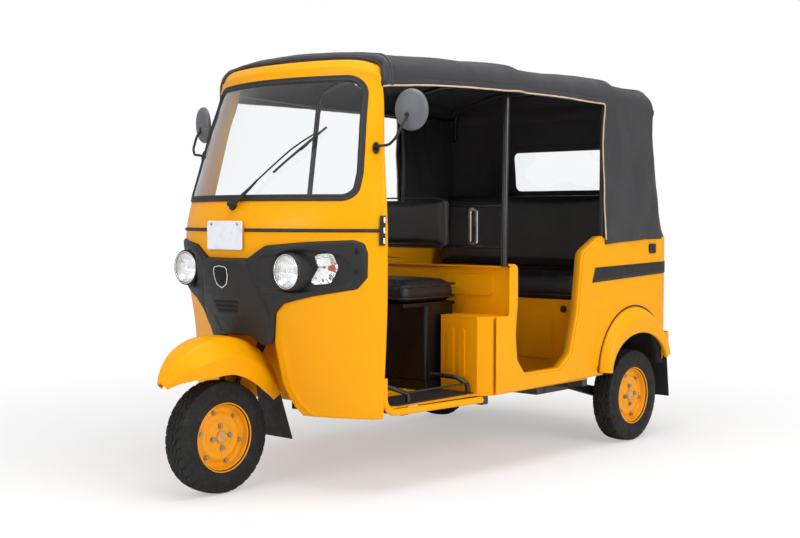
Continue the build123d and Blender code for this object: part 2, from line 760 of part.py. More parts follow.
# ---------------------------------------------------------------- rear body
side_outline = [
    (1064, side_low_z), (1064, locker_top_z), (978, locker_top_z), (978, partition_top_z),
    (921, partition_top_z), (920, 700), (934, 560), (922, 452), (864, 386), (604, 386), (522, 440),
    (470, 612), (432, 880), (300, quarter_top_z), (rear_x - 20, quarter_top_z), (rear_x - 20, 492),
    (-292, 492), (-286, 372), (-240, side_low_z + 8), (240, side_low_z + 8),
]
side_radii = [4, 4, 8, 8, 8, 60, 60, 50, 40, 40, 50, 120, 40, 60, 4, 2, 4, 20, 4, 4]


def rear_sides():
    """Side panels with the door cut-out, the rolled doorway flange and the rear corners."""
    y = body_half_width
    corner = rear_corner_radius
    edge = tailgate_half_width + lid_gap
    outer = plan_prism([(1064, y), (rear_x, y), (rear_x, edge), (1064, edge)],
                       [1, corner, 1, 1], 300, quarter_top_z)
    inner = plan_prism([(1300, y - sheet), (rear_x + sheet, y - sheet), (rear_x + sheet, edge - 60),
                        (1300, edge - 60)], [1, corner - sheet, 1, 1], 290, quarter_top_z + 10)
    skin = outer - inner
    prism = side_prism(side_outline, side_radii, 0, y + 20)
    side = skin & prism
    arch = Pos(0, y, fender_centre_z) * (Rot(90, 0, 0) * Cylinder(262, 60))
    side -= arch
    face = make_face(FilletPolyline(*side_outline, radius=side_radii, close=True))
    inner_face = offset(face, amount=-sheet)
    lip = extrude(Plane.XZ * (face - inner_face), -(34)) & box(440, 945, -100, 100, 380, 960)
    side += Pos(0, y - sheet - 30, 0) * lip
    wheelhouse = Rot(90, 0, 0) * (Cylinder(262 + sheet, 150) - Cylinder(262, 160))
    wheelhouse = (Pos(0, y - sheet - 74, fender_centre_z) * wheelhouse) & box(-300, 300, 0, y, side_low_z + 10, 800)
    side += wheelhouse
    return pair(side)


def rear_top():
    """Ledge across the back over the lid, where the canopy's hem is fixed."""
    half = body_half_width - sheet - 2
    ledge = plan_prism([(-157, -half), (-157, half), (rear_x + sheet + 1, half), (rear_x + sheet + 1, -half)],
                       [1, 1, rear_corner_radius - sheet - 2, rear_corner_radius - sheet - 2],
                       quarter_top_z - sheet, quarter_top_z)
    stop_x = rear_x + tailgate_thickness + seat_gap
    lip = box(stop_x, stop_x + sheet, -tailgate_half_width, tailgate_half_width, tailgate_top_z - 20, quarter_top_z)
    lip += box(stop_x, rear_x + 50, -tailgate_half_width, tailgate_half_width, quarter_top_z - sheet, quarter_top_z)
    return ledge + lip


def rear_fenders():
    """Proud wheel arches with a turned-in lip."""
    y = body_half_width
    outer = arch_solid(fender_radius, y + seat_gap, y + fender_proud)
    rim_edge = outer.edges().group_by(Axis.Y)[-1]
    outer = fillet(rim_edge, 16)
    cavity = arch_solid(fender_radius - sheet, y - 5, y + fender_proud - sheet)
    mouth = arch_solid(fender_opening_radius, y - 5, y + fender_proud + 10)
    return pair(outer - cavity - mouth)


def arch_solid(radius, y_low, y_high):
    """Half disc about the arch's centre with short straight legs below."""
    disc = Pos(0, 0, fender_centre_z) * (Rot(90, 0, 0) * Cylinder(radius, y_high - y_low))
    disc = Pos(0, (y_low + y_high) / 2, 0) * disc
    return disc & box(-400, 400, y_low - 5, y_high + 5, fender_centre_z, 900)


def rear_bumper():
    """Pressed apron across the tail, under the lid, with the lid's hinge lugs and pins."""
    half = body_half_width
    corner = rear_corner_radius - 42
    outer = plan_prism([(-300, -half), (-300, half), (rear_x - 6, half), (rear_x - 6, -half)],
                       [1, 1, corner, corner], 388, bumper_top_z)
    inner = plan_prism([(-290, -half + sheet), (-290, half - sheet), (rear_x - 6 + sheet, half - sheet),
                        (rear_x - 6 + sheet, -half + sheet)],
                       [1, 1, corner - sheet, corner - sheet], 380, 500)
    bumper = outer - inner
    flange = box(flap_x - seat_gap - 6, flap_x - seat_gap, rear_track_half - 62, half - 1, 400, bumper_top_z)
    bumper += flange + mirrored(flange)
    for y in hinge_places:
        for side in (-1, 1):
            low, high = sorted((y + side * 22, y + side * 30))
            lug = box(hinge_x - 6, hinge_x + 6, low, high, bumper_top_z - 20, hinge_z)
            bumper += lug + rod((hinge_x, low, hinge_z), (hinge_x, high, hinge_z), 6)
        bumper += rod((hinge_x, y - 26, hinge_z), (hinge_x, y + 26, hinge_z), hinge_pin_radius)
    return bumper


def tail_lamps():
    """Lamp blocks on the rear corners."""
    lamp = box(rear_x - 22, rear_x - seat_gap, 456, 488, 590, 770)
    lamp = fillet(lamp.edges().filter_by(Axis.X), 10)
    return pair(fillet(lamp.edges().group_by(Axis.X)[0], 5))


def rear_mudflaps():
    """Rubber flaps behind the rear wheels."""
    y = rear_track_half
    flap = side_prism([(flap_x, 392), (flap_x + 6, 392), (flap_x - 22, 176), (flap_x - 28, 176)], 1, y - 62, y + 52)
    strip = box(flap_x, flap_x + 5, y - 62, body_half_width - sheet - 8, 388, bumper_top_z - 36)
    return pair(flap + strip)


def tailgate():
    """Rear engine lid with a turned edge and two rows of louvres."""
    half = tailgate_half_width
    panel = box(rear_x, rear_x + tailgate_thickness, -half, half, tailgate_low_z, tailgate_top_z)
    panel = fillet(panel.edges().filter_by(Axis.X), 24)
    recess = box(rear_x + 4, rear_x + tailgate_thickness + 1, -half + 14, half - 14,
                 tailgate_low_z + 26, tailgate_top_z - 14)
    panel -= recess
    for row in range(5):
        z = 590 + 34 * row
        for y in (-190, 190):
            panel -= box(rear_x - 5, rear_x + 10, y - 120, y + 120, z, z + 9)
    for y in hinge_places:
        strap = box(hinge_x - 6, hinge_x + 6, y - 20, y + 20, hinge_z, tailgate_low_z + 30)
        strap += box(hinge_x - 6, rear_x + 2, y - 20, y + 20, tailgate_low_z + 8, tailgate_low_z + 30)
        strap += rod((hinge_x, y - 20, hinge_z), (hinge_x, y + 20, hinge_z), 6)
        panel += strap
        panel -= rod((hinge_x, y - 30, hinge_z), (hinge_x, y + 30, hinge_z), hinge_pin_radius + bearing_clearance)
    return panel


def side_latches():
    """Rubber latch block near the top of each rear side."""
    block = box(-172, -132, body_half_width + seat_gap, body_half_width + 12, 884, 926)
    return pair(fillet(block.edges().filter_by(Axis.Y), 6))


def engine_block():
    """The engine and gear case, one plain block hung under the rear subframe."""
    return box(-200, 170, -175, 175, 190, floor_z - floor_sheet + 202)


def rear_arms():
    """Trailing arms with the stub axles that carry the rear wheels."""
    y, h = arm_y, arm_half_height
    arm = side_prism([(330, 262), (330, 296), (40, tyre_radius + h), (-34, tyre_radius + h),
                      (-34, tyre_radius - h), (40, tyre_radius - h)], 8, y - 16, y + 16)
    axle = rod((0, y + 10, tyre_radius), (0, rear_track_half + hub_half_length - 4, tyre_radius), axle_radius)
    boss = rod((0, y + 10, tyre_radius), (0, rear_track_half - hub_half_length - 1.5, tyre_radius), 26)
    pivot = rod((314, 245, 279), (314, y + 2, 279), 14)
    return pair(arm + axle + boss + pivot)


def rear_dampers():
    """Spring dampers, each with an eye on the trailing arm and one under the frame's outrigger."""
    y = arm_y
    foot_z, head_z = tyre_radius + arm_half_height + seat_gap, outrigger_z - seat_gap
    body = rod((-20, y, foot_z + 10), (-60, y - 30, head_z - 10), 8)
    body += rod((-26, y - 4, foot_z + 34), (-56, y - 27, head_z - 34), 26)
    body += rod((-20, y, foot_z), (-20, y, foot_z + 20), 13)
    body += rod((-60, y - 30, head_z - 20), (-60, y - 30, head_z), 13)
    return pair(body)


# ---------------------------------------------------------------- canopy
def canopy_points(station, shrink, low):
    """One cross-section: upright sides, shoulders rounded in short flats, and a crowned top."""
    x, half, shoulder, crown = station
    round_off = canopy_shoulder_radius
    centre = (half - round_off, shoulder - round_off)
    right = [(half - shrink, low)]
    for turn in (0, 25, 50, 72):
        angle = radians(turn)
        right.append((centre[0] + (round_off - shrink) * cos(angle), centre[1] + (round_off - shrink) * sin(angle)))
    right.append((half * 0.45, shoulder + (crown - shoulder) * 0.8 - shrink))
    left = [(-y, z) for y, z in reversed(right)]
    return [(x, y, z) for y, z in right + [(0, crown - shrink)] + left]


def canopy_volume(shrink, low, front_growth):
    """Closed form through the canopy's stations, moved in by shrink, in flat facets."""
    stations = [list(station) for station in canopy_sections]
    stations[0][0] += front_growth
    rings = [canopy_points(station, shrink, low) for station in stations]
    count = len(rings[0])
    faces = [Face(Wire.make_polygon(ring, close=True)) for ring in (rings[0], rings[-1])]
    for near, far in zip(rings, rings[1:]):
        for i in range(count):
            j = (i + 1) % count
            faces.append(Face(Wire.make_polygon([near[i], near[j], far[j]], close=True)))
            faces.append(Face(Wire.make_polygon([near[i], far[j], far[i]], close=True)))
    return Part() + Solid(Shell(faces))


canopy_back = [(-408, canopy_low_z), (-322, 1340), (-316, 1600), (-250, 1674), (-170, 1800)]
canopy_hem = [
    (1800, 1512), (1650, 1508), (980, 1543), (590, 1547), (312, 1540), (288, 1500), (300, 1358),
    (268, 940), (262, 908), (-240, canopy_low_z),
]


def canopy():
    """Hood of one sheet: roof, side hems and the rear curtain with its window."""
    side = make_face(FilletPolyline(*canopy_back, (1800, 1800), *canopy_hem,
                                    radius=[1, 40, 120, 60, 60, 1, 1, 4, 60, 60, 20, 16, 60, 20, 8, 4], close=True))
    outer = canopy_volume(0, 850, 0) & extrude(Plane.XZ * side, 800, both=True)
    t = canopy_sheet
    back = make_face(FilletPolyline((-408 + t, 600), (-408 + t, canopy_low_z), (-322 + t, 1340), (-316 + t, 1600 - t),
                                    (-250 + t, 1674 - t), (-170, 1800), (2000, 1800), (2000, 600),
                                    radius=[1, 40, 120, 60, 60, 1, 1, 1], close=True))
    inner = canopy_volume(t, 700, 40) & extrude(Plane.XZ * back, 800, both=True)
    window = front_prism([(-290, 1170), (290, 1170), (290, 1375), (-290, 1375)], 40, -500, -250)
    return outer - inner - window


parts = {
    "cab_shell": cab_shell(),
    "wheel_well": wheel_well(),
    "windshield_gasket": windshield_gasket(),
    "windshield_glass": windshield_glass(),
    "nose_mask": nose_mask(),
    "headlamps": headlamps(),
    "turn_signals": turn_signals(),
    "number_plate": number_plate(),
    "rubber_trim": gather(waist_bead(), side_latches()),
    "wiper": wiper(),
    "mirrors": mirrors(),
    "dashboard": dashboard(),
    "floor_pan": gather(floor_pan(), sills()),
    "floor_mats": floor_mats(),
    "chassis": chassis(),
    "guard_tubes": guard_tubes(),
    "driver_seat_box": driver_seat_box(),
    "driver_seat_cushion": driver_seat_cushion(),
    "driver_backrest": driver_backrest(),
    "partition": gather(partition(), lockers()),
    "partition_rails": partition_rails(),
    "grab_handles": grab_handle(),
    "passenger_seat_base": passenger_seat_base(),
    "passenger_seat_cushion": passenger_seat_cushion(),
    "passenger_seat_back": passenger_seat_back(),
    "rear_body": gather(rear_sides(), rear_top()),
    "rear_fenders": rear_fenders(),
    "rear_bumper": rear_bumper(),
    "tail_lamps": tail_lamps(),
    "rear_mudflaps": rear_mudflaps(),
    "engine_block": engine_block(),
    "rear_suspension": gather(rear_arms(), rear_dampers()),
    "canopy": canopy(),
    "tailgate": tailgate(),
    "steering_column": steering_column(),
    "front_suspension": gather(front_link(), front_damper()),
    "handlebar": gather(handlebar(), handlebar_grips()),
    "front_mudguard": front_mudguard(),
    "front_mudflap": front_mudflap(),
    "front_tyre": Pos(*front_hub) * tyre(),
    "front_rim": Pos(*front_hub) * rim(1),
}
for side, hub in rear_hubs.items():
    parts["rear_tyre_" + side] = Pos(*hub) * tyre()
    parts["rear_rim_" + side] = Pos(*hub) * rim(1 if side == "left" else -1)

whole = Compound(children=[solid for shape in parts.values() for solid in shape.solids()])
bounds = whole.bounding_box()
shift = Pos(-(bounds.min.X + bounds.max.X) / 2, 0, -bounds.min.Z)
os.makedirs("parts", exist_ok=True)
for name, shape in parts.items():
    export_step(shift * Compound(children=[s for s in shape.solids()]), "parts/" + name + ".step")
print("bounds", bounds, "shift", shift)
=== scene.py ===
import bpy
import numpy as np
from mathutils import Matrix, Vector
from mathutils.geometry import delaunay_2d_cdt


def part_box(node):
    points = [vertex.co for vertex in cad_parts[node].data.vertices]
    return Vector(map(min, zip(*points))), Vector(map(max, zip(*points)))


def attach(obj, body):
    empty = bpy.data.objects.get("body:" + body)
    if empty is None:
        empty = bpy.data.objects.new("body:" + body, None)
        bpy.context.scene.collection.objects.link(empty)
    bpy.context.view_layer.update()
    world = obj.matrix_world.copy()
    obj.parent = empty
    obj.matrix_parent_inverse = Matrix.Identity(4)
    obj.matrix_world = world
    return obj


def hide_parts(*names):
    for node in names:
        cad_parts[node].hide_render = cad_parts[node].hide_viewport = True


# Three-wheeled auto rickshaw. Lengths in metres, x forward, y to the left, z up.
# Places are measured from the rear axle, on the ground, and moved to the frame by `placed`.
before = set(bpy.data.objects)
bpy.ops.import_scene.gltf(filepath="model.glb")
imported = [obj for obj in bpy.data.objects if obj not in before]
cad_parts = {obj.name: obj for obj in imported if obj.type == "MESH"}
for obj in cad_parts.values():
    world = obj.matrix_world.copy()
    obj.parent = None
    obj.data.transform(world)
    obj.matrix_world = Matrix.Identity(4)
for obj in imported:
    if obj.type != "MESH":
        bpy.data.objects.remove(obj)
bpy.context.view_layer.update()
scene = bpy.context.scene
scene.view_settings.view_transform = "Standard"
low, high = (np.array(corner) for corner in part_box("rear_tyre_left"))
REAR_AXLE = np.array([(low[0] + high[0]) / 2, 0.0, 0.0])
TAU = 2 * np.pi


# ------------------------------------------------------------------ camera
def set_camera():
    """Camera in front of the left corner at chest height, level but for a small downward tilt."""
    place = REAR_AXLE + (4.975, 3.534, 1.0276)
    heading, tilt, roll = 3.86363130, -0.0405822798, 0.00261541192
    ahead = np.array([np.cos(heading) * np.cos(tilt), np.sin(heading) * np.cos(tilt), np.sin(tilt)])
    right = np.cross(ahead, (0, 0, 1))
    right /= np.linalg.norm(right)
    up = np.cross(right, ahead)
    right, up = np.cos(roll) * right + np.sin(roll) * up, np.cos(roll) * up - np.sin(roll) * right
    data = bpy.data.cameras.new("camera")
    data.sensor_width = 36.0
    data.lens = 1224.49325 / 800 * 36.0
    data.clip_end = 100
    camera = bpy.data.objects.new("camera", data)
    scene.collection.objects.link(camera)
    turn = np.eye(4)
    turn[:3, 0], turn[:3, 1], turn[:3, 2], turn[:3, 3] = right, up, -ahead, place
    camera.matrix_world = Matrix(turn.tolist())
    scene.camera = camera


# ------------------------------------------------------------------ materials
def srgb(r, g, b):
    """sRGB 0..255 to linear."""
    c = np.array([r, g, b]) / 255
    return tuple(np.where(c <= 0.04045, c / 12.92, ((c + 0.055) / 1.055) ** 2.4)) + (1.0,)


class Finish:
    """A material whose nodes are added one at a time: colour, roughness, then bumps.
    `made` holds every material by its name."""

    made = {}

    def __init__(self, name, colour, rough, **sockets):
        self.material = bpy.data.materials.new(name)
        self.made[name] = self.material
        self.material.use_nodes = True
        self.nodes = self.material.node_tree.nodes
        self.links = self.material.node_tree.links
        self.shader = self.nodes["Principled BSDF"]
        self.shader.inputs["Base Color"].default_value = colour
        self.shader.inputs["Roughness"].default_value = rough
        for socket, value in sockets.items():
            self.shader.inputs[socket.replace("_", " ")].default_value = value
        self.colour, self.rough = colour, rough
        self.where = self.nodes.new("ShaderNodeTexCoord").outputs["Object"]
        self.last_bump = None

    def texture(self, kind, scale, **settings):
        """A pattern node on Object coordinates at a scale, with its settings or sockets filled in."""
        node = self.nodes.new(kind)
        self.links.new(self.where, node.inputs["Vector"])
        node.inputs["Scale"].default_value = scale
        for key, value in settings.items():
            if key in node.inputs:
                node.inputs[key].default_value = value
            else:
                setattr(node, key, value)
        return node

    def ramp(self, source, low, high, start=0.0, end=1.0):
        """Value output: source mapped from start..end to low..high."""
        node = self.nodes.new("ShaderNodeMapRange")
        self.links.new(source, node.inputs["Value"])
        for key, value in (("From Min", start), ("From Max", end), ("To Min", low), ("To Max", high)):
            node.inputs[key].default_value = value
        return node.outputs["Result"]

    def blotch(self, colour, scale, start=0.45, end=0.75, detail=5.0, share=1.0):
        """Mixes a second colour in where a noise is high."""
        noise = self.texture("ShaderNodeTexNoise", scale, Detail=detail)
        amount = self.ramp(noise.outputs["Fac"], 0.0, share, start, end)
        mix = self.nodes.new("ShaderNodeMix")
        mix.data_type = "RGBA"
        self.links.new(amount, mix.inputs["Factor"])
        socket = self.shader.inputs["Base Color"]
        if socket.is_linked:
            self.links.new(socket.links[0].from_socket, mix.inputs["A"])
        else:
            mix.inputs["A"].default_value = self.colour
        mix.inputs["B"].default_value = colour
        self.links.new(mix.outputs["Result"], socket)
        return self

    def uneven(self, scale, low, high, detail=4.0):
        """Roughness that wanders between low and high."""
        noise = self.texture("ShaderNodeTexNoise", scale, Detail=detail)
        self.links.new(self.ramp(noise.outputs["Fac"], low, high, 0.3, 0.7), self.shader.inputs["Roughness"])
        return self

    def bump(self, source, height):
        """Adds a height field in metres on top of the ones before."""
        node = self.nodes.new("ShaderNodeBump")
        node.inputs["Distance"].default_value = height
        self.links.new(source, node.inputs["Height"])
        if self.last_bump:
            self.links.new(self.last_bump, node.inputs["Normal"])
        self.last_bump = node.outputs["Normal"]
        self.links.new(self.last_bump, self.shader.inputs["Normal"])
        return self

    def grain(self, scale, height, detail=3.0):
        """Fine noise as relief of a given height in metres."""
        noise = self.texture("ShaderNodeTexNoise", scale, Detail=detail)
        return self.bump(noise.outputs["Fac"], height)


def make_finishes():
    """Every paint, metal, rubber, cloth and glass of the vehicle, each by its own name."""
    paint = Finish("body_paint", (0.88, 0.365, 0.001, 1), 0.3, Coat_Weight=0.06, Coat_Roughness=0.05,
                   Specular_IOR_Level=0.12)
    paint.blotch((0.83, 0.327, 0.0008, 1), 2.2, 0.4, 0.8, share=0.5).uneven(9, 0.3, 0.42).grain(160, 0.00008)
    paint.grain(6, 0.0004)
    wheel = Finish("wheel_paint", srgb(238, 158, 12), 0.36, Coat_Weight=0.12, Coat_Roughness=0.1,
                   Specular_IOR_Level=0.25)
    wheel.blotch(srgb(214, 138, 20), 9, 0.5, 0.8, share=0.6).uneven(20, 0.3, 0.5).grain(120, 0.0002)
    tube = Finish("black_tube", srgb(14, 14, 16), 0.3, Coat_Weight=0.3, Coat_Roughness=0.15)
    tube.blotch(srgb(26, 26, 26), 16, 0.5, 0.85).uneven(30, 0.28, 0.5).grain(300, 0.0001)
    trim = Finish("trim_black", srgb(31, 30, 30), 0.46, Specular_IOR_Level=0.35)
    trim.blotch(srgb(38, 37, 37), 5, 0.4, 0.8).uneven(40, 0.42, 0.58).grain(900, 0.00025, 2)
    pedestal = Finish("pedestal_black", srgb(9, 10, 12), 0.34, Specular_IOR_Level=0.35)
    pedestal.blotch(srgb(16, 17, 19), 8, 0.45, 0.8).uneven(12, 0.24, 0.42).grain(500, 0.0002, 2)
    rubber = Finish("rubber_black", srgb(30, 30, 31), 0.62)
    rubber.blotch(srgb(46, 45, 44), 12, 0.5, 0.85).uneven(50, 0.5, 0.72).grain(700, 0.0003)
    tyre = Finish("tyre_rubber", srgb(22, 22, 22), 0.72, Specular_IOR_Level=0.35)
    tyre.blotch(srgb(42, 40, 38), 22, 0.48, 0.8, share=0.8).uneven(60, 0.6, 0.85).grain(900, 0.0004)
    mat = Finish("floor_mat", srgb(34, 31, 29), 0.8)
    mat.blotch(srgb(74, 66, 56), 7, 0.45, 0.8, share=0.7).grain(800, 0.0005)
    leather = Finish("seat_leather", srgb(17, 17, 18), 0.34, Specular_IOR_Level=0.55)
    cells = leather.texture("ShaderNodeTexVoronoi", 520, feature="DISTANCE_TO_EDGE")
    leather.blotch(srgb(30, 29, 29), 6, 0.45, 0.8).uneven(10, 0.28, 0.46)
    leather.bump(leather.ramp(cells.outputs["Distance"], 0, 1, 0, 0.12), 0.00022).grain(38, 0.0008)
    cloth = Finish("canopy_cloth", srgb(50, 50, 52), 0.6, Sheen_Weight=0.06, Sheen_Roughness=0.4,
                   Specular_IOR_Level=0.35)
    cells = cloth.texture("ShaderNodeTexVoronoi", 900, feature="DISTANCE_TO_EDGE")
    cloth.blotch(srgb(58, 58, 60), 3.5, 0.42, 0.78).uneven(14, 0.46, 0.66)
    cloth.bump(cloth.ramp(cells.outputs["Distance"], 0, 1, 0, 0.12), 0.00025).grain(24, 0.0012)
    border = Finish("border_cloth", srgb(56, 56, 60), 0.4, Specular_IOR_Level=0.4)
    border.uneven(30, 0.34, 0.5).grain(40, 0.0006)
    piping = Finish("piping_beige", srgb(205, 186, 158), 0.6)
    piping.blotch(srgb(170, 150, 120), 30, 0.45, 0.8).grain(600, 0.0003)
    glass = Finish("clear_glass", (0.93, 0.955, 0.96, 1), 0.0, Transmission_Weight=1.0, IOR=1.45)
    glass.uneven(3, 0.0, 0.02)
    lamp = Finish("lamp_glass", (0.98, 0.98, 0.98, 1), 0.02, Transmission_Weight=1.0, IOR=1.4)
    flutes = lamp.texture("ShaderNodeTexWave", 30, bands_direction="Y")
    lamp.bump(flutes.outputs["Fac"], 0.0006)
    chrome = Finish("bright_metal", (0.86, 0.86, 0.87, 1), 0.12, Metallic=1.0)
    chrome.uneven(40, 0.08, 0.2).grain(200, 0.00005)
    reflector = Finish("reflector", (0.9, 0.9, 0.9, 1), 0.1, Metallic=1.0)
    reflector.uneven(30, 0.06, 0.16)
    shell = Finish("mirror_shell", srgb(96, 97, 101), 0.42)
    shell.uneven(60, 0.36, 0.5)
    shell.grain(90, 0.0003)
    mirror = Finish("mirror_glass", (0.9, 0.92, 0.93, 1), 0.02, Metallic=1.0)
    mirror.uneven(10, 0.01, 0.04)
    amber = Finish("amber_bulb", srgb(236, 96, 30), 0.2, Transmission_Weight=0.4)
    amber.blotch(srgb(250, 130, 50), 60).grain(300, 0.0002)
    red = Finish("red_lens", srgb(190, 18, 16), 0.15, Coat_Weight=0.6)
    ribs = red.texture("ShaderNodeTexWave", 60, bands_direction="Z")
    red.bump(ribs.outputs["Fac"], 0.0008)
    plate = Finish("plate_white", srgb(232, 236, 240), 0.35, Coat_Weight=0.3)
    plate.blotch(srgb(212, 218, 226), 30, 0.5, 0.85).grain(300, 0.0001)
    cast = Finish("cast_metal", srgb(120, 118, 114), 0.55, Metallic=0.85)
    cast.blotch(srgb(70, 66, 60), 14, 0.42, 0.75, share=0.8).uneven(30, 0.4, 0.7).grain(250, 0.0006)
    bolt = Finish("bolt_metal", srgb(168, 166, 160), 0.32, Metallic=1.0)
    bolt.blotch(srgb(110, 96, 74), 90, 0.5, 0.8).grain(400, 0.0002)
    cap = Finish("hub_cap_tan", srgb(214, 160, 92), 0.5)
    cap.blotch(srgb(180, 126, 66), 60, 0.45, 0.8).grain(300, 0.0002)
    dark = Finish("deep_black", srgb(8, 8, 8), 0.85)
    dark.grain(300, 0.0002)
    return Finish.made


# ------------------------------------------------------------------ mesh making
def placed(points):
    """Points measured from the rear axle, moved into the shared frame."""
    return np.asarray(points, float) + REAR_AXLE


def piece(name, points, faces, body, look, slot, thickness=0.0, smooth=True, bevel=0.0, subdivide=0,
          turn_angle=None):
    """A mesh object from points (n, 3) measured from the rear axle, riding on a body."""
    mesh = bpy.data.meshes.new(name)
    faces = np.asarray(faces).tolist() if not isinstance(faces, list) else faces
    mesh.from_pydata(placed(points).tolist(), [], faces)
    mesh.validate()
    mesh.polygons.foreach_set("use_smooth", [smooth] * len(mesh.polygons))
    obj = bpy.data.objects.new(name, mesh)
    scene.collection.objects.link(obj)
    mesh.materials.append(looks[look])
    if thickness:
        wall = obj.modifiers.new("wall", "SOLIDIFY")
        wall.thickness, wall.offset, wall.use_even_offset = thickness, -1, True
    if bevel:
        edge = obj.modifiers.new("edge", "BEVEL")
        edge.width, edge.segments, edge.limit_method, edge.angle_limit = bevel, 2, "ANGLE", np.radians(40)
        edge.harden_normals = False
    if subdivide:
        fine = obj.modifiers.new("fine", "SUBSURF")
        fine.levels = fine.render_levels = subdivide
    if turn_angle:
        mesh.set_sharp_from_angle(angle=np.radians(turn_angle))
    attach(obj, body)
    return obj


def grid_faces(rows, columns, around_rows=False, around_columns=False):
    """Quads of a rows x columns grid; a closed direction joins its last line to its first."""
    r = np.arange(rows if around_rows else rows - 1)[:, None]
    c = np.arange(columns if around_columns else columns - 1)[None, :]
    r2, c2 = (r + 1) % rows, (c + 1) % columns
    corners = [r * columns + c, r * columns + c2, r2 * columns + c2, r2 * columns + c]
    return np.stack(corners, -1).reshape(-1, 4)


def joined(parts):
    """One (points, faces) from several, with quads as lists."""
    points, faces, start = [], [], 0
    for part_points, part_faces in parts:
        part_points = np.asarray(part_points).reshape(-1, 3)
        points.append(part_points)
        faces += [[i + start for i in face] for face in np.asarray(part_faces).tolist()] \
            if not isinstance(part_faces, list) else [[i + start for i in face] for face in part_faces]
        start += len(part_points)
    return np.concatenate(points), faces


def welded(points, faces, size=1e-5):
    """Points closer than size become one, and faces that lose an edge keep their other corners."""
    points = np.asarray(points, float).reshape(-1, 3)
    key = np.round(points / size).astype(np.int64)
    _, first, back = np.unique(key, axis=0, return_index=True, return_inverse=True)
    back = back.ravel()
    kept = []
    for face in back[np.asarray(faces)].tolist():
        face = [a for a, b in zip(face, face[1:] + face[:1]) if a != b]
        if len(face) > 2 and len(set(face)) == len(face):
            kept.append(face)
    return points[first], kept


def mirrored(part):
    """The same part on the other side, its faces turned to point outwards."""
    points, faces = part
    points = np.asarray(points).reshape(-1, 3) * (1, -1, 1)
    faces = [list(reversed(face)) for face in (faces if isinstance(faces, list) else faces.tolist())]
    return points, faces


def rounded(corners, radii, step=0.006, closed=True):
    """Points of a polygon whose corners are arcs: each corner is cut at radius / tan(half angle) on both
    sides and the arc between is sampled about every step. Returns (n, 2)."""
    corners = np.asarray(corners, float)
    count = len(corners)
    radii = [radii] * count if np.isscalar(radii) else radii
    out = []
    for i, corner in enumerate(corners):
        if not closed and i in (0, count - 1):
            out.append(corner[None])
            continue
        before, after = corners[i - 1] - corner, corners[(i + 1) % count] - corner
        la, lb = np.linalg.norm(before), np.linalg.norm(after)
        before, after = before / la, after / lb
        half = np.arccos(np.clip(before @ after, -1, 1)) / 2
        reach = min(radii[i] / np.tan(half), 0.49 * la, 0.49 * lb)
        radius = reach * np.tan(half)
        middle = before + after
        if radius < 1e-5 or np.linalg.norm(middle) < 1e-6:
            out.append(corner[None])
            continue
        centre = corner + middle / np.linalg.norm(middle) * radius / np.sin(half)
        first, last = corner + before * reach - centre, corner + after * reach - centre
        a0, a1 = np.arctan2(first[1], first[0]), np.arctan2(last[1], last[0])
        sweep = (a1 - a0 + np.pi) % TAU - np.pi
        n = max(3, int(abs(sweep) * radius / step))
        angle = a0 + sweep * np.linspace(0, 1, n)
        out.append(centre + radius * np.stack([np.cos(angle), np.sin(angle)], 1))
    return np.concatenate(out)


def spaced(points, step, closed=False):
    """The same line with points about every step along it."""
    points = np.asarray(points, float)
    if closed:
        points = np.vstack([points, points[:1]])
    length = np.concatenate([[0], np.cumsum(np.linalg.norm(np.diff(points, axis=0), axis=1))])
    keep = np.concatenate([[True], np.diff(length) > 1e-9])
    length, points = length[keep], points[keep]
    n = max(4, int(round(length[-1] / step)) + 1)
    at = np.linspace(0, length[-1], n)
    line = np.stack([np.interp(at, length, points[:, k]) for k in range(points.shape[1])], 1)
    return line[:-1] if closed else line


def inside(points, outline):
    """Even-odd test of many points against one closed outline."""
    x, y = points[:, 0][:, None], points[:, 1][:, None]
    a, b = outline, np.roll(outline, -1, axis=0)
    straddle = (a[:, 1] > y) != (b[:, 1] > y)
    run = np.where(np.abs(b[:, 1] - a[:, 1]) < 1e-12, 1e-12, b[:, 1] - a[:, 1])
    cross = x < (b[:, 0] - a[:, 0]) * (y - a[:, 1]) / run + a[:, 0]
    return (straddle & cross).sum(1) % 2 == 1


def depth_in(points, outline):
    """Distance to a closed outline, positive inside it."""
    points = np.asarray(points, float)
    a, b = outline, np.roll(outline, -1, axis=0)
    best = np.full(len(points), 1e9)
    for p, q in zip(a, b):
        run = q - p
        share = np.clip(((points - p) @ run) / max(run @ run, 1e-12), 0, 1)
        best = np.minimum(best, np.linalg.norm(points - p - share[:, None] * run, axis=1))
    return np.where(inside(points, outline), best, -best)


def step_up(distance, width):
    """0 at -width/2, 1 at +width/2, with level ends (3t^2 - 2t^3)."""
    t = np.clip(distance / width + 0.5, 0, 1)
    return t * t * (3 - 2 * t)


def through(value, at, levels):
    """Smooth curve through a table: cubic pieces whose slopes are those of the neighbours' chord."""
    at, levels, value = np.asarray(at, float), np.asarray(levels, float), np.asarray(value, float)
    slope = np.gradient(levels, at)
    k = np.clip(np.searchsorted(at, value) - 1, 0, len(at) - 2)
    width = at[k + 1] - at[k]
    t = (value - at[k]) / width
    h00, h10 = 2 * t**3 - 3 * t**2 + 1, t**3 - 2 * t**2 + t
    h01, h11 = -2 * t**3 + 3 * t**2, t**3 - t**2
    return h00 * levels[k] + h10 * width * slope[k] + h01 * levels[k + 1] + h11 * width * slope[k + 1]


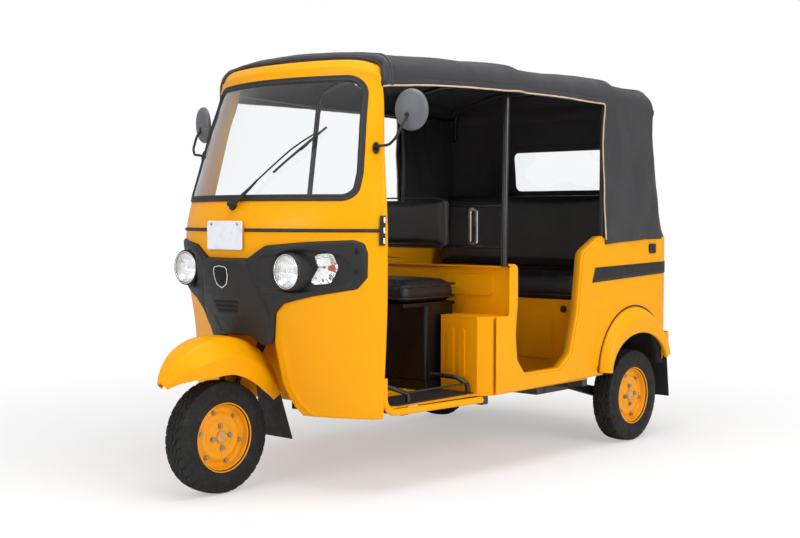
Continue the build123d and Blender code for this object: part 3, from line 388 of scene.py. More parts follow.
def cut_sheet(outline, holes, step):
    """Triangles of a flat region with holes: the outlines plus a square lattice of points inside,
    joined by a constrained Delaunay mesh. Returns (n, 2) points and faces."""
    loops = [spaced(loop, step, closed=True) for loop in [outline] + holes]
    low, high = loops[0].min(0), loops[0].max(0)
    u, v = np.meshgrid(np.arange(low[0], high[0], step), np.arange(low[1], high[1], step))
    lattice = np.stack([u.ravel(), v.ravel()], 1)
    keep = depth_in(lattice, loops[0]) > 0.45 * step
    for hole in loops[1:]:
        keep &= depth_in(lattice, hole) < -0.45 * step
    edges, start = [], 0
    for loop in loops:
        n = np.arange(len(loop))
        edges += (np.stack([n, (n + 1) % len(loop)], 1) + start).tolist()
        start += len(loop)
    flat = np.concatenate(loops + [lattice[keep]])
    verts, _, faces, *_ = delaunay_2d_cdt([tuple(p) for p in flat.tolist()], edges, [], 0, 1e-7)
    verts, faces = np.array([tuple(v) for v in verts]), np.array(faces)
    middle = verts[faces].mean(1)
    keep = inside(middle, loops[0])
    for hole in loops[1:]:
        keep &= ~inside(middle, hole)
    return verts, faces[keep]


def swept(path, profile, closed=False, up=(0, 0, 1), normals=None, caps=True):
    """A profile (m, 2) carried along a path (n, 3). Its first axis lies across the path, its second
    along the normal: `normals` for each point, or up made square to the path."""
    path, profile = np.asarray(path, float), np.asarray(profile, float)
    n, m = len(path), len(profile)
    if closed:
        ahead = np.roll(path, -1, 0) - np.roll(path, 1, 0)
    else:
        ahead = np.gradient(path, axis=0)
    ahead /= np.linalg.norm(ahead, axis=1)[:, None]
    if normals is None:
        if up == "carried":
            normals = carried_normals(ahead)
        else:
            normals = np.broadcast_to(np.asarray(up, float), path.shape)
    normals = normals - (normals * ahead).sum(1)[:, None] * ahead
    normals = normals / np.linalg.norm(normals, axis=1)[:, None]
    across = np.cross(normals, ahead)
    points = path[:, None] + profile[None, :, :1] * across[:, None] + profile[None, :, 1:] * normals[:, None]
    faces = grid_faces(n, m, closed, True).tolist()
    if caps and not closed:
        faces += [list(range(m))[::-1], list(range((n - 1) * m, n * m))]
    points = points.reshape(-1, 3)
    return points, faces


def carried_normals(ahead):
    """Normals that turn as little as possible along the path, starting square to it."""
    start = np.array([0, 0, 1.0]) if abs(ahead[0][2]) < 0.9 else np.array([1.0, 0, 0])
    normals = [start - (start @ ahead[0]) * ahead[0]]
    for direction in ahead[1:]:
        normal = normals[-1] - (normals[-1] @ direction) * direction
        normals.append(normal / np.linalg.norm(normal))
    return np.array(normals)


def ring_profile(radius, sides=16, flat=1.0):
    """Circle (or an oval when flat is not 1) as a profile, counter-clockwise."""
    angle = np.linspace(0, TAU, sides, endpoint=False)
    return radius * np.stack([np.cos(angle), flat * np.sin(angle)], 1)


def bar_profile(width, height, corner=0.2):
    """Rounded rectangle profile centred on the path."""
    w, h = width / 2, height / 2
    return rounded([(-w, -h), (w, -h), (w, h), (-w, h)], corner * min(width, height), step=0.002)


def tube(points, radius, bend=0.0, sides=14, step=0.012):
    """Round tube through points whose corners are bent to the given radius, in three dimensions."""
    points = np.asarray(points, float)
    line = [points[0][None]]
    for before, corner, after in zip(points, points[1:], points[2:]):
        a, b = before - corner, after - corner
        la, lb = np.linalg.norm(a), np.linalg.norm(b)
        a, b = a / la, b / lb
        half = np.arccos(np.clip(a @ b, -1, 1)) / 2
        reach = min(bend / np.tan(half), 0.48 * la, 0.48 * lb)
        t = np.linspace(0, 1, 9)[:, None]
        first, last = corner + a * reach, corner + b * reach
        line.append((1 - t) ** 2 * first + 2 * t * (1 - t) * corner + t**2 * last)
    line.append(points[-1][None])
    path = spaced(np.concatenate(line), step)
    return swept(path, ring_profile(radius, sides), up="carried")


def lathe(profile, sides, centre, axis="y"):
    """Profile (m, 2) of (along, radius) turned about an axis through centre."""
    profile = np.asarray(profile, float)
    angle = np.linspace(0, TAU, sides, endpoint=False)
    along, radius = profile[:, 0][None], profile[:, 1][None]
    c, s = np.cos(angle)[:, None], np.sin(angle)[:, None]
    if axis == "y":
        points = np.stack([radius * s, along + 0 * c, radius * c], -1)
    elif axis == "x":
        points = np.stack([along + 0 * c, radius * c, radius * s], -1)
    else:
        points = np.stack([radius * c, radius * s, along + 0 * c], -1)
    return (points + np.asarray(centre, float)).reshape(-1, 3), grid_faces(sides, len(profile), True, False)


def dressed(node, look):
    """Gives a CAD node a finish of its own."""
    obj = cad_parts[node]
    for slot in range(max(1, len(obj.material_slots))):
        if slot < len(obj.data.materials):
            obj.data.materials[slot] = looks[look]
        else:
            obj.data.materials.append(looks[look])


looks = make_finishes()
set_camera()


# ------------------------------------------------------------------ floor and light
def set_stage():
    """A pale floor, whitened with distance where the camera sees it, also through glass, under a plain
    bright sky that reads as white behind the object."""
    mesh = bpy.data.meshes.new("studio_floor")
    side = np.linspace(-40, 40, 9)
    u, v = np.meshgrid(side, side, indexing="ij")
    mesh.from_pydata(np.stack([u, v, 0 * u], -1).reshape(-1, 3).tolist(), [], grid_faces(9, 9).tolist())
    floor = bpy.data.objects.new("studio_floor", mesh)
    scene.collection.objects.link(floor)
    surface = bpy.data.materials.new("studio_floor")
    surface.use_nodes = True
    nodes, links = surface.node_tree.nodes, surface.node_tree.links
    shader, output = nodes["Principled BSDF"], nodes["Material Output"]
    shader.inputs["Roughness"].default_value = 0.9
    shader.inputs["Specular IOR Level"].default_value = 0.1
    where = nodes.new("ShaderNodeTexCoord").outputs["Object"]
    noise = nodes.new("ShaderNodeTexNoise")
    noise.inputs["Scale"].default_value = 1.3
    links.new(where, noise.inputs["Vector"])
    tint = nodes.new("ShaderNodeMix")
    tint.data_type = "RGBA"
    tint.inputs["A"].default_value = srgb(236, 236, 237)
    tint.inputs["B"].default_value = srgb(240, 240, 240)
    links.new(noise.outputs["Fac"], tint.inputs["Factor"])
    links.new(tint.outputs["Result"], shader.inputs["Base Color"])
    length = nodes.new("ShaderNodeVectorMath")
    length.operation = "LENGTH"
    links.new(where, length.inputs[0])
    far = nodes.new("ShaderNodeMapRange")
    links.new(length.outputs["Value"], far.inputs["Value"])
    for key, value in (("From Min", 1.2), ("From Max", 3.4), ("To Min", 0.42), ("To Max", 1.0)):
        far.inputs[key].default_value = value
    far.interpolation_type = "SMOOTHSTEP"
    seen = seen_directly(nodes, links)
    amount = nodes.new("ShaderNodeMath")
    amount.operation = "MULTIPLY"
    links.new(seen, amount.inputs[0])
    links.new(far.outputs["Result"], amount.inputs[1])
    glow = nodes.new("ShaderNodeEmission")
    glow.inputs["Strength"].default_value = 1.0
    mix = nodes.new("ShaderNodeMixShader")
    links.new(amount.outputs[0], mix.inputs["Fac"])
    links.new(shader.outputs["BSDF"], mix.inputs[1])
    links.new(glow.outputs["Emission"], mix.inputs[2])
    links.new(mix.outputs["Shader"], output.inputs["Surface"])
    mesh.materials.append(surface)
    world = bpy.data.worlds.new("studio")
    scene.world = world
    world.use_nodes = True
    nodes, links = world.node_tree.nodes, world.node_tree.links
    back = nodes["Background"]
    back.inputs["Color"].default_value = (1, 1, 1, 1)
    strength = nodes.new("ShaderNodeMapRange")
    links.new(seen_directly(nodes, links), strength.inputs["Value"])
    strength.inputs["To Min"].default_value = 0.5
    strength.inputs["To Max"].default_value = 1.0
    links.new(strength.outputs["Result"], back.inputs["Strength"])


def seen_directly(nodes, links):
    """1 for rays from the camera and for what glass lets through."""
    path = nodes.new("ShaderNodeLightPath")
    either = nodes.new("ShaderNodeMath")
    either.operation = "MAXIMUM"
    links.new(path.outputs["Is Camera Ray"], either.inputs[0])
    links.new(path.outputs["Is Transmission Ray"], either.inputs[1])
    return either.outputs[0]


def lamp(name, place, target, size, watts, colour=(1, 1, 1)):
    """Rectangular area light at a place, turned so that it faces its target."""
    data = bpy.data.lights.new(name, "AREA")
    data.shape, data.size, data.size_y = "RECTANGLE", size[0], size[1]
    data.energy, data.color = watts, colour
    obj = bpy.data.objects.new(name, data)
    scene.collection.objects.link(obj)
    place, target = np.array(place, float), np.array(target, float)
    back = (place - target) / np.linalg.norm(place - target)
    right = np.cross((0, 0, 1.0), back)
    right /= np.linalg.norm(right)
    turn = np.eye(4)
    turn[:3, 0], turn[:3, 1], turn[:3, 2], turn[:3, 3] = right, np.cross(back, right), back, place
    obj.matrix_world = Matrix(turn.tolist())


set_stage()
lamp("overhead", (0.4, 0.8, 5.0), (0.2, 0.1, 0.6), (4.5, 3.5), 172)
lamp("left_window", (0.4, 5.6, 3.0), (0.0, 0.0, 0.8), (4.0, 2.2), 146)
lamp("front_window", (5.6, 0.4, 2.8), (1.0, 0.0, 0.9), (2.6, 2.0), 75)

# ------------------------------------------------------------------ cab
HEADER_HALF = 0.444
# level z, foremost x, x of the rear edge, half width there
CAB = np.array([
    (0.250, 1.776, 1.655, 0.526), (0.292, 1.790, 1.655, 0.528), (0.450, 1.838, 1.655, 0.535),
    (0.600, 1.880, 1.655, 0.543), (0.750, 1.930, 1.655, 0.548), (0.880, 1.950, 1.655, 0.548),
    (0.986, 1.955, 1.655, 0.548), (1.103, 1.912, 1.654, 0.542), (1.200, 1.875, 1.642, 0.525),
    (1.316, 1.830, 1.625, 0.504), (1.400, 1.797, 1.611, 0.490), (1.500, 1.758, 1.590, 0.466),
    (1.560, 1.733, 1.586, 0.452), (1.640, 1.700, 1.585, HEADER_HALF)])
SCREEN = rounded([(-0.473, 1.096), (0.473, 1.096), (0.470, 1.200), (0.441, 1.400), (0.413, 1.564),
                  (-0.413, 1.564),
                  (-0.441, 1.400), (-0.470, 1.200)], [0.075, 0.075, 0.2, 0.4, 0.085, 0.085, 0.4, 0.2])
GAP = rounded([(-0.278, 0.24), (0.278, 0.24), (0.192, 0.318), (0.160, 0.400), (0.160, 0.560), (0.168, 0.668),
               (-0.168, 0.668), (-0.160, 0.560), (-0.160, 0.400), (-0.192, 0.318)],
              [0.01, 0.01, 0.05, 0.08, 0.06, 0.02, 0.02, 0.06, 0.08, 0.05])
SHEET = 0.006


def cab_level(z):
    """Foremost x, rear edge x and half width at a height."""
    return [through(z, CAB[:, 0], CAB[:, k]) for k in (1, 2, 3)]


def cab_x(y, z):
    """The cowl: at each height an arc through the nose and both rear edges,
    x = nose - R + sqrt(R^2 - y^2) with R from chord and rise."""
    nose, edge, half = cab_level(z)
    rise = nose - edge
    radius = (half**2 + rise**2) / (2 * rise)
    x = nose - radius + np.sqrt(np.maximum(radius**2 - np.minimum(np.abs(y), half * 1.02)**2, 1e-6))
    return x


def cab_point(y, z, out=0.0):
    """Points on the cowl, moved out along its normal (from small steps in y and z)."""
    y, z = np.asarray(y, float), np.asarray(z, float)
    e = 0.002
    dy = (cab_x(y + e, z) - cab_x(y - e, z)) / (2 * e)
    dz = (cab_x(y, z + e) - cab_x(y, z - e)) / (2 * e)
    normal = np.stack([np.ones_like(y), -dy, -dz], -1)
    normal /= np.linalg.norm(normal, axis=-1)[..., None]
    return np.stack([cab_x(y, z), y, z], -1) + normal * np.asarray(out)[..., None]


def cab_normal(y, z):
    """Outward unit normal of the cowl: the point 1 m out, less the point on the skin."""
    return cab_point(y, z, np.ones_like(np.asarray(y, float))) - cab_point(y, z, 0 * np.asarray(y, float))


def header_top(y):
    """Crown of the header: z = 1.630 - 0.034 (|y| / HEADER_HALF)^8, flat in the middle
    and rounded at its ends."""
    return 1.630 - 0.034 * np.abs(np.asarray(y) / HEADER_HALF)**8


def make_cab():
    """The cowl skin with its windscreen and wheel openings; a soft crease along the header and a raised
    bead a little inside the wheel opening are added along the normal."""
    z = np.linspace(0.292, 1.596, 90)
    edge = cab_level(z)[2]
    across = np.linspace(-1, 1, 70)[1:-1]
    top = np.stack([across * HEADER_HALF, header_top(across * HEADER_HALF)], 1)
    base = np.array([(-0.50, 0.289), (-0.30, 0.286), (0.30, 0.286), (0.50, 0.289)])
    right = np.stack([edge, z], 1)
    outline = np.concatenate([base, right, top[::-1], right[::-1] * (-1, 1)])
    turn = np.linspace(0, TAU, 48, endpoint=False)
    lamp = np.stack([0.287 + 0.062 * np.cos(turn), 0.836 + 0.062 * np.sin(turn)], 1)
    signal = rounded(SIGNAL, 0.014, step=0.004)
    points, faces = cut_sheet(outline, [SCREEN * (0.985, 1), lamp, lamp * (-1, 1), signal, signal * (-1, 1)],
                              0.0085)
    middle = points[faces].mean(1)
    gap_depth = depth_in(points, GAP)
    faces = faces[~inside(middle, GAP)]
    y, z = points[:, 0], points[:, 1]
    fold = z - (header_top(y) - 0.038)
    crease = np.where(z > 1.45, 0.005 * step_up(fold + 0.004, 0.008) - 0.34 * np.maximum(fold, 0), 0)
    bead = 0.003 * np.exp(-((-gap_depth - 0.03) / 0.008)**2) * (z < 0.60)
    bead -= 0.003 * np.exp(-((cab_level(z)[2] - np.abs(y) - 0.020) / 0.006)**2)
    skin = piece("cowl", cab_point(y, z, crease + bead), faces, "body", "body_paint", "body_paint", SHEET)
    # rear edge: a rolled flange turned inwards
    z = np.linspace(0.30, 1.592, 90)
    _, edge, half = cab_level(z)
    flange = []
    for side in (1, -1):
        path = np.stack([edge, side * half, z], 1)
        turn = np.linspace(0, np.pi / 2, 6)
        roll = 0.007
        profile = np.concatenate([np.stack([roll * np.cos(turn) - roll, -roll * np.sin(turn)], 1),
                                  [[-0.100, -roll - 0.010], [-0.100, -roll - 0.006], [-roll, -roll + 0.004],
                                   [-0.004, 0]]])
        rings = path[:, None, :] + np.stack([profile[None, :, 1] + 0 * z[:, None],
                                             side * (profile[None, :, 0] + 0 * z[:, None]),
                                             np.zeros((len(z), len(profile)))], -1)
        faces = grid_faces(len(z), len(profile), False, True)
        flange.append((rings, faces[:, ::-1] if side > 0 else faces))
    edge = piece("cowl_flange", *joined(flange), "body", "body_paint", "body_paint")
    # lip turned back over the top of the header
    y = np.linspace(-0.442, 0.442, 80)
    z = header_top(y)
    start = cab_point(y, z, np.full(80, 0.005 - 0.34 * 0.038))
    back = np.linspace(0, 1, 8)
    lip = start[:, None] + np.stack([-0.040 * back + 0 * y[:, None], 0 * back + 0 * y[:, None],
                                     0.003 * np.sin(back * np.pi / 2) + 0 * y[:, None]], -1)
    roof = piece("header_lip", lip.reshape(-1, 3), grid_faces(80, 8)[:, ::-1], "body", "body_paint",
                 "body_paint", 0.003)
    for part in (skin, edge, roof):
        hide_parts("cab_shell")


def on_screen_outline(grow, step=0.008):
    """The windscreen's outline moved out by grow in front view."""
    line = spaced(SCREEN, step, closed=True)
    ahead = np.roll(line, -1, 0) - np.roll(line, 1, 0)
    out = np.stack([ahead[:, 1], -ahead[:, 0]], 1)
    out /= np.linalg.norm(out, axis=1)[:, None]
    return line + out * grow


def make_glazing():
    """Rubber seal with a filler strip, carried round the opening on the cowl's normal, and curved glass."""
    line = on_screen_outline(-0.010)
    centre = cab_point(line[:, 0], line[:, 1], np.full(len(line), -0.004))
    normals = cab_normal(line[:, 0], line[:, 1])
    profile = rounded([(-0.0135, -0.008), (0.0135, -0.008), (0.0135, 0.004), (0.007, 0.0115), (0.001, 0.0075),
                       (-0.003, 0.0075), (-0.008, 0.0105), (-0.0135, 0.004)], 0.003, step=0.0015)
    seal = piece("screen_seal", *swept(centre, profile, closed=True, normals=normals), "body", "rubber_black",
                 "rubber_black")
    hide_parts("windshield_gasket")
    points, faces = cut_sheet(on_screen_outline(-0.009), [], 0.014)
    glass = piece("screen_glass", cab_point(points[:, 0], points[:, 1], np.full(len(points), -0.001)), faces,
                  "body", "clear_glass", "clear_glass", 0.005)
    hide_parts("windshield_glass")


# ------------------------------------------------------------------ nose mask
MASK_HALF = [(0, .882), (.112, .882), (.160, .912), (.190, .930), (.340, .945), (.474, .952), (.499, .940),
             (.506, .905), (.504, .815), (.478, .772), (.340, .744), (.240, .716), (.200, .680), (.176, .610),
             (.160, .560), (.120, .556), (.070, .590), (0, .600)]
POCKET = [(.136, .886), (.327, .918), (.404, .912), (.462, .880), (.466, .800), (.452, .778), (.340, .762),
          (.176, .764), (.146, .800)]


def mirrored_outline(half):
    """Whole outline from its left half (y, z), with the points off the middle repeated at -y."""
    half = list(half)
    return np.array(half + [(-y, z) for y, z in half[::-1] if y > 0])


def mask_proud(y, z):
    """How far the mask's face stands out from the cowl, before pockets."""
    side = np.abs(y)
    centre = 0.036 - 0.010 * (side / 0.15)**2
    wing = 0.020 - 0.012 * np.clip((side - 0.2) / 0.3, 0, 1)
    blend = step_up(side - (0.155 + 0.5 * np.clip(0.72 - z, -0.05, 0.2)), 0.05)
    return centre * (1 - blend) + wing * blend


def mask_point(y, z, out=0.0):
    """Points on the mask: the cowl moved out along its normal by mask_proud, and by `out` more."""
    y, z = np.asarray(y, float), np.asarray(z, float)
    return cab_point(y, z, mask_proud(y, z) + out)


def make_mask():
    """Height field over the cowl: a rounded edge, the shield between two seams, a deep pocket for each lamp
    cluster, a badge recess and three slots."""
    outline = rounded(mirrored_outline(MASK_HALF[1:-1]), 0.016, step=0.004)
    lamp_y, lamp_z = 0.287, 0.836
    angle = np.linspace(0, TAU, 64, endpoint=False)
    lamp = np.stack([0.0655 * np.cos(angle), 0.0655 * np.sin(angle)], 1)
    lens = rounded(SIGNAL, 0.014, step=0.003)
    holes = [lamp + (lamp_y, lamp_z), lamp + (-lamp_y, lamp_z), lens, lens * (-1, 1)]
    points, faces = cut_sheet(outline, holes, 0.0045)
    y, z = points[:, 0], points[:, 1]
    both = np.stack([np.abs(y), z], 1)
    edge = depth_in(points, outline)
    pocket = rounded(POCKET, 0.05, step=0.004)
    proud = mask_proud(y, z) * np.sqrt(np.clip(edge / 0.014, 0, 1) * (2 - np.clip(edge / 0.014, 0, 1)))
    inner = depth_in(both, pocket)
    proud -= 0.011 * step_up(inner - 0.004, 0.014)
    ring = np.hypot(both[:, 0] - lamp_y, z - lamp_z)
    proud -= 0.006 * np.exp(-((ring - 0.070) / 0.006)**2)
    # seams that part the shield from the wings
    seam = spaced(np.array([(.112, .883), (.130, .840), (.152, .770), (.175, .700), (.168, .640),
                            (.158, .556)]), 0.004)
    gap = np.min(np.hypot(both[:, None, 0] - seam[None, :, 0], z[:, None] - seam[None, :, 1]), 1)
    proud -= 0.005 * np.exp(-(gap / 0.0042)**2)
    badge = rounded(SHIELD, 0.012, step=0.003)
    proud -= 0.002 * step_up(depth_in(points, badge) + 0.003, 0.004)
    strips = []
    for row in range(3):
        slot = rounded([(-0.066 + 0.006 * row, 0.722 - 0.016 * row),
                        (0.066 - 0.006 * row, 0.722 - 0.016 * row),
                        (0.064 - 0.006 * row, 0.7295 - 0.016 * row),
                        (-0.064 + 0.006 * row, 0.7295 - 0.016 * row)],
                       0.003, step=0.002)
        proud -= 0.008 * step_up(depth_in(points, slot) + 0.001, 0.004)
        strips.append((slot + (0, 0.0003), 0.0035))
    lower = rounded([(-0.10, 0.672), (0.10, 0.672), (0.072, 0.610), (-0.072, 0.610)], 0.014, step=0.004)
    proud -= 0.003 * step_up(depth_in(points, lower), 0.008)
    mask = piece("nose_mask_skin", cab_point(y, z, np.maximum(proud, 0.0008)), faces, "body", "trim_black",
                 "trim_black", 0.003)
    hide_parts("nose_mask")
    # near-black sheets set a little inside the three slots: painted shade of the slots' depth
    slats = []
    for slot, sunk in strips:
        points, faces = cut_sheet(slot, [], 0.004)
        slats.append((mask_point(points[:, 0], points[:, 1], -sunk), faces))
    vents = piece("mask_vents", *joined(slats), "body", "deep_black", "trim_black")
    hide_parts("nose_mask")
    screws = []
    for y, z in ((0.477, 0.911), (0.475, 0.838), (-0.477, 0.911), (-0.475, 0.838)):
        place = mask_point(np.array([y]), np.array([z]), 0.0)[0]
        screws.append(lathe([(0.0, 0.0), (0.0035, 0.003), (0.0035, 0.0075), (0.0015, 0.0095),
                             (-0.003, 0.0095)], 18,
                            place, "x"))
    piece("mask_screws", *joined(screws), "body", "deep_black", "trim_black")
    # blank shield with a bright edge
    line = spaced(badge, 0.003, closed=True)
    rim = mask_point(line[:, 0], line[:, 1], np.full(len(line), 0.001))
    normals = cab_normal(line[:, 0], line[:, 1])
    piece("badge_rim", *swept(rim, bar_profile(0.0036, 0.004), closed=True, normals=normals), "body",
          "bright_metal", "bright_metal")
    points, faces = cut_sheet(badge, [], 0.004)
    depth = np.clip(depth_in(points, badge) / 0.02, 0, 1)
    piece("badge_field", mask_point(points[:, 0], points[:, 1],
                                    0.0005 + 0.003 * np.sqrt(depth * (2 - depth))), faces,
          "body", "deep_black", "trim_black", 0.0)


SHIELD = [(-.034, .851), (0, .856), (.034, .851), (.036, .820), (.026, .790), (0, .776), (-.026, .790),
          (-.036, .820)]
SIGNAL = np.array([(.339, .787), (.405, .793), (.431, .851), (.416, .903), (.361, .901), (.372, .850)])


def make_lamps():
    """Headlamps: a paraboloid bowl r^2 = 4 f x, a bright bezel, a shallow domed lens and a bulb; clear wing
    lamps with a small orange bulb in front of a silvered tray."""
    parts = {key: [] for key in ("housing", "bezel", "bowl", "lens", "bulb", "tray", "cover", "amber",
                                 "holder")}
    for side in (1, -1):
        centre = np.array([1.912, side * 0.287, 0.836])
        r = np.linspace(0.010, 0.059, 14)
        bowl = np.stack([-0.050 + (r**2) / (4 * 0.0175), r], 1)
        bowl = np.concatenate([bowl, [[0.001, 0.0610], [0.001, 0.0625], [-0.04, 0.0625]]])
        parts["bowl"].append(lathe(bowl[::-1], 64, centre, "x"))
        turn = np.linspace(-0.2, np.pi, 14)
        bezel = np.stack([0.004 + 0.0020 * np.sin(turn), 0.0625 + 0.0020 * np.cos(turn)], 1)
        bezel = np.concatenate([[[-0.004, 0.0645]], bezel, [[-0.004, 0.0600]]])
        parts["housing"].append(lathe([(0.0, 0.0638), (0.0045, 0.0650), (0.0055, 0.0665), (0.003, 0.0690),
                                       (-0.006, 0.0702),
                                       (-0.030, 0.0708), (-0.080, 0.0715)], 72, centre, "x"))
        parts["bezel"].append(lathe(bezel, 72, centre, "x"))
        r = np.linspace(0.0005, 0.0612, 12)
        dome = np.stack([0.012 * (1 - (r / 0.0612)**2) + 0.002, r], 1)
        inner = dome[::-1] - (0.0022, 0.0)
        parts["lens"].append(lathe(np.concatenate([dome, inner]), 64, centre, "x"))
        bulb = np.array([(0.012, 0.0005), (0.011, 0.005), (0.004, 0.0085), (-0.012, 0.009), (-0.04, 0.007)])
        parts["bulb"].append(lathe(bulb - (0.008, 0), 20, centre, "x"))
        line = rounded(SIGNAL, 0.012, step=0.004) * (side, 1)
        line = line if side > 0 else line[::-1]
        points, faces = cut_sheet(line, [], 0.006)
        depth = np.clip(depth_in(points, line) / 0.016, 0, 1)
        rise = 0.006 * np.sqrt(depth * (2 - depth))
        parts["cover"].append((mask_point(points[:, 0], points[:, 1], rise - 0.005), faces))
        depth = np.clip(depth_in(points, line) / 0.02, 0, 1)
        parts["tray"].append((mask_point(points[:, 0], points[:, 1], -0.011 - 0.020 * depth), faces))
        at = mask_point(np.array([side * 0.398]), np.array([0.850]), 0.0)[0] - (0.012, 0, 0)
        bulb = np.array([(0.012, 0.0004), (0.011, 0.006), (0.006, 0.0105), (-0.004, 0.012), (-0.012, 0.009)])
        parts["amber"].append(lathe(bulb - (0.010, 0), 24, at, "x"))
        parts["holder"].append(lathe([(-0.020, 0.013), (-0.020, 0.018), (-0.026, 0.021)], 24, at, "x"))
    finishes = {"housing": "trim_black", "bezel": "bright_metal", "bowl": "reflector", "lens": "lamp_glass",
                "bulb": "reflector",
                "tray": "reflector", "cover": "lamp_glass", "amber": "amber_bulb", "holder": "reflector"}
    for key, group in parts.items():
        thick = 0.0025 if key == "cover" else 0.0
        slot = {"cover": "lamp_glass", "lens": "lamp_glass", "amber": "amber_lens",
                "housing": "trim_black"}.get(key, "bright_metal")
        piece("lamp_" + key, *joined(group), "body", finishes[key], slot, thick)
    for key in ("housing", "bezel", "bowl", "lens", "bulb"):
        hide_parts("headlamps")
    for key in ("tray", "cover", "amber", "holder"):
        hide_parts("turn_signals")


def make_plate():
    """Blank plate with an embossed border, flat and upright in front of the cowl, and two screws."""
    outline = rounded([(-0.100, 0.912), (0.100, 0.912), (0.100, 1.020), (-0.100, 1.020)], 0.010, step=0.003)
    points, faces = cut_sheet(outline, [], 0.004)
    depth = depth_in(points, outline)
    emboss = 0.0012 * np.exp(-((depth - 0.006) / 0.0014)**2)
    x = 1.9605 + emboss
    plate = piece("plate_blank", np.stack([x, points[:, 0], points[:, 1]], 1), faces, "body", "plate_white",
                  "plate_white", 0.0018)
    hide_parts("number_plate")
    screws = [lathe([(0.004, 0.0005), (0.0036, 0.004), (0.002, 0.0058), (-0.002, 0.006)], 16, (1.9605, y, z),
                    "x")
              for y in (-0.074, 0.074) for z in (1.008,)]
    piece("plate_screws", *joined(screws), "body", "bolt_metal", "bright_metal")


def make_waist_bead():
    """Half-round rubber bead on the cowl just under the screen."""
    parts = []
    for side in (1, -1):
        y = side * np.linspace(0.1015, 0.543, 60)
        z = np.full(60, 0.986)
        path = cab_point(y, z, np.full(60, 0.001))
        parts.append(swept(path, bar_profile(0.013, 0.011, 0.4), normals=cab_normal(y, z)))
    bead = piece("waist_bead", *joined(parts), "body", "rubber_black", "rubber_black")
    latch = [swept(np.array([(-0.150, side * y, 0.893) for y in (0.6005, 0.606, 0.6125)]),
                   bar_profile(0.056, 0.046, 0.2), up=(0, 0, 1)) for side in (1, -1)]
    latch += [lathe([(0.612, 0.0), (0.612, 0.010), (0.618, 0.009), (0.620, 0.004), (0.620, 0.0)], 20,
                    (-0.158, 0, 0.893), "y")]
    latch += [mirrored(latch[-1])]
    block = piece("side_latch_blocks", *joined(latch), "body", "rubber_black", "rubber_black", bevel=0.002)
    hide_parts("rubber_trim")
    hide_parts("rubber_trim")


make_cab()
make_glazing()
make_mask()
make_lamps()
make_plate()
make_waist_bead()

# ------------------------------------------------------------------ hood
HOOD = np.array([  # x, half width, shoulder, crown
    (1.586, .460, 1.644, 1.662), (1.555, .494, 1.647, 1.668), (1.465, .535, 1.648, 1.674),
                 (1.300, .577, 1.649, 1.684),
    (0.885, .604, 1.650, 1.703), (0.186, .612, 1.646, 1.708), (-0.060, .611, 1.630, 1.698),
    (-0.185, .610, 1.616, 1.686), (-0.262, .609, 1.596, 1.672), (-0.420, .600, 1.560, 1.640)])
# height of the side hem at x, and how far the back leans forward at a height
HEM_X = np.array([-0.5, 0.28, 0.312, 0.590, 0.980, 1.200, 1.400, 1.500, 1.580])
HEM_Z = np.array([1.538, 1.538, 1.540, 1.547, 1.543, 1.541, 1.534, 1.529, 1.525])
CURTAIN_LOW, CURTAIN_X = 0.938, 0.290
WINDOW = (0.305, 1.160, 1.392)
LEAN_Z, LEAN = [0.94, 1.05, 1.18, 1.34, 1.45, 1.60, 1.80], [0.0, 0.052, 0.088, 0.110, 0.122, 0.134, 0.136]


def hood_value(x, column):
    """Smooth value of the hood's table at x (front to back)."""
    return through(-np.asarray(x, float), -HOOD[:, 0], HOOD[:, column])


def folds(x, y, z, size):
    """Sum of a few slanted waves of unlike lengths, about -1 to 1, for soft unevenness."""
    long = np.sin(x * 7.1 / size + y * 3.3 / size + 1.0) * np.sin(z * 5.7 / size + x * 2.9 / size + 2.1)
    mid = 0.6 * np.sin(x * 17.0 / size - z * 11.0 / size + 0.4) * np.sin(y * 13.0 / size + z * 9.0 / size + 1.7)
    short = 0.3 * np.sin(x * 41.0 / size + z * 23.0 / size) * np.sin(y * 31.0 / size + x * 19.0 / size)
    return (long + mid + short) / 1.6


BOWS = ((0.93, 0.045), (0.245, 0.045), (-0.16, 0.05))  # x of each bow and how wide it presses the cloth
SHOULDER_RADIUS = 0.078
SHOULDER_ARC = np.radians(80)
HOOD_FRONT_X = 1.586
CORNER_START_X = -0.262
RIDGE_END_X = -0.215


def hood_surface(plan, level):
    """The hood as one sheet, and the direction from its outline (x, y) towards the ridge. `level` is below 0
    on the wall (metres under the shoulder's start), 0 to 1 over the shoulder arc and 1 to 2 over the roof to
    the ridge. The arc is SHOULDER_ARC of a circle of SHOULDER_RADIUS, the roof rises as 1 - (1 - f)^2, and
    the back leans forward as it rises."""
    x, y = plan[:, 0][:, None], plan[:, 1][:, None]
    along = np.clip(x, CORNER_START_X, HOOD_FRONT_X)
    shoulder = hood_value(along, 2)
    radius = SHOULDER_RADIUS
    ridge_x = np.clip(x, RIDGE_END_X, HOOD_FRONT_X)
    to_ridge = np.stack([ridge_x - x, -y], -1)
    reach = np.linalg.norm(to_ridge, axis=-1)
    inward = to_ridge / reach[..., None]
    start = shoulder - radius
    below = np.minimum(level[None], 0)
    arc = np.clip(level[None], 0, 1) * SHOULDER_ARC
    roof = np.clip(level[None] - 1, 0, 1)
    arc_in, arc_up = radius * (1 - np.cos(arc)), radius * np.sin(arc)
    edge_in, edge_up = radius * (1 - np.cos(SHOULDER_ARC)), radius * np.sin(SHOULDER_ARC)
    run = reach - edge_in
    moved = arc_in + roof * run
    ridge_z = hood_value(ridge_x, 3)
    lift = ridge_z - (start + edge_up)
    z = start + arc_up + below + lift * (1 - (1 - roof)**2)
    px, py = x + inward[..., 0] * moved, y + inward[..., 1] * moved
    # the back leans forward as it rises
    rear = step_up(-(x + 0.20), 0.20)
    lean = np.interp(z, LEAN_Z, LEAN)
    px = px + rear * lean
    return np.stack([px, py, z], -1), inward


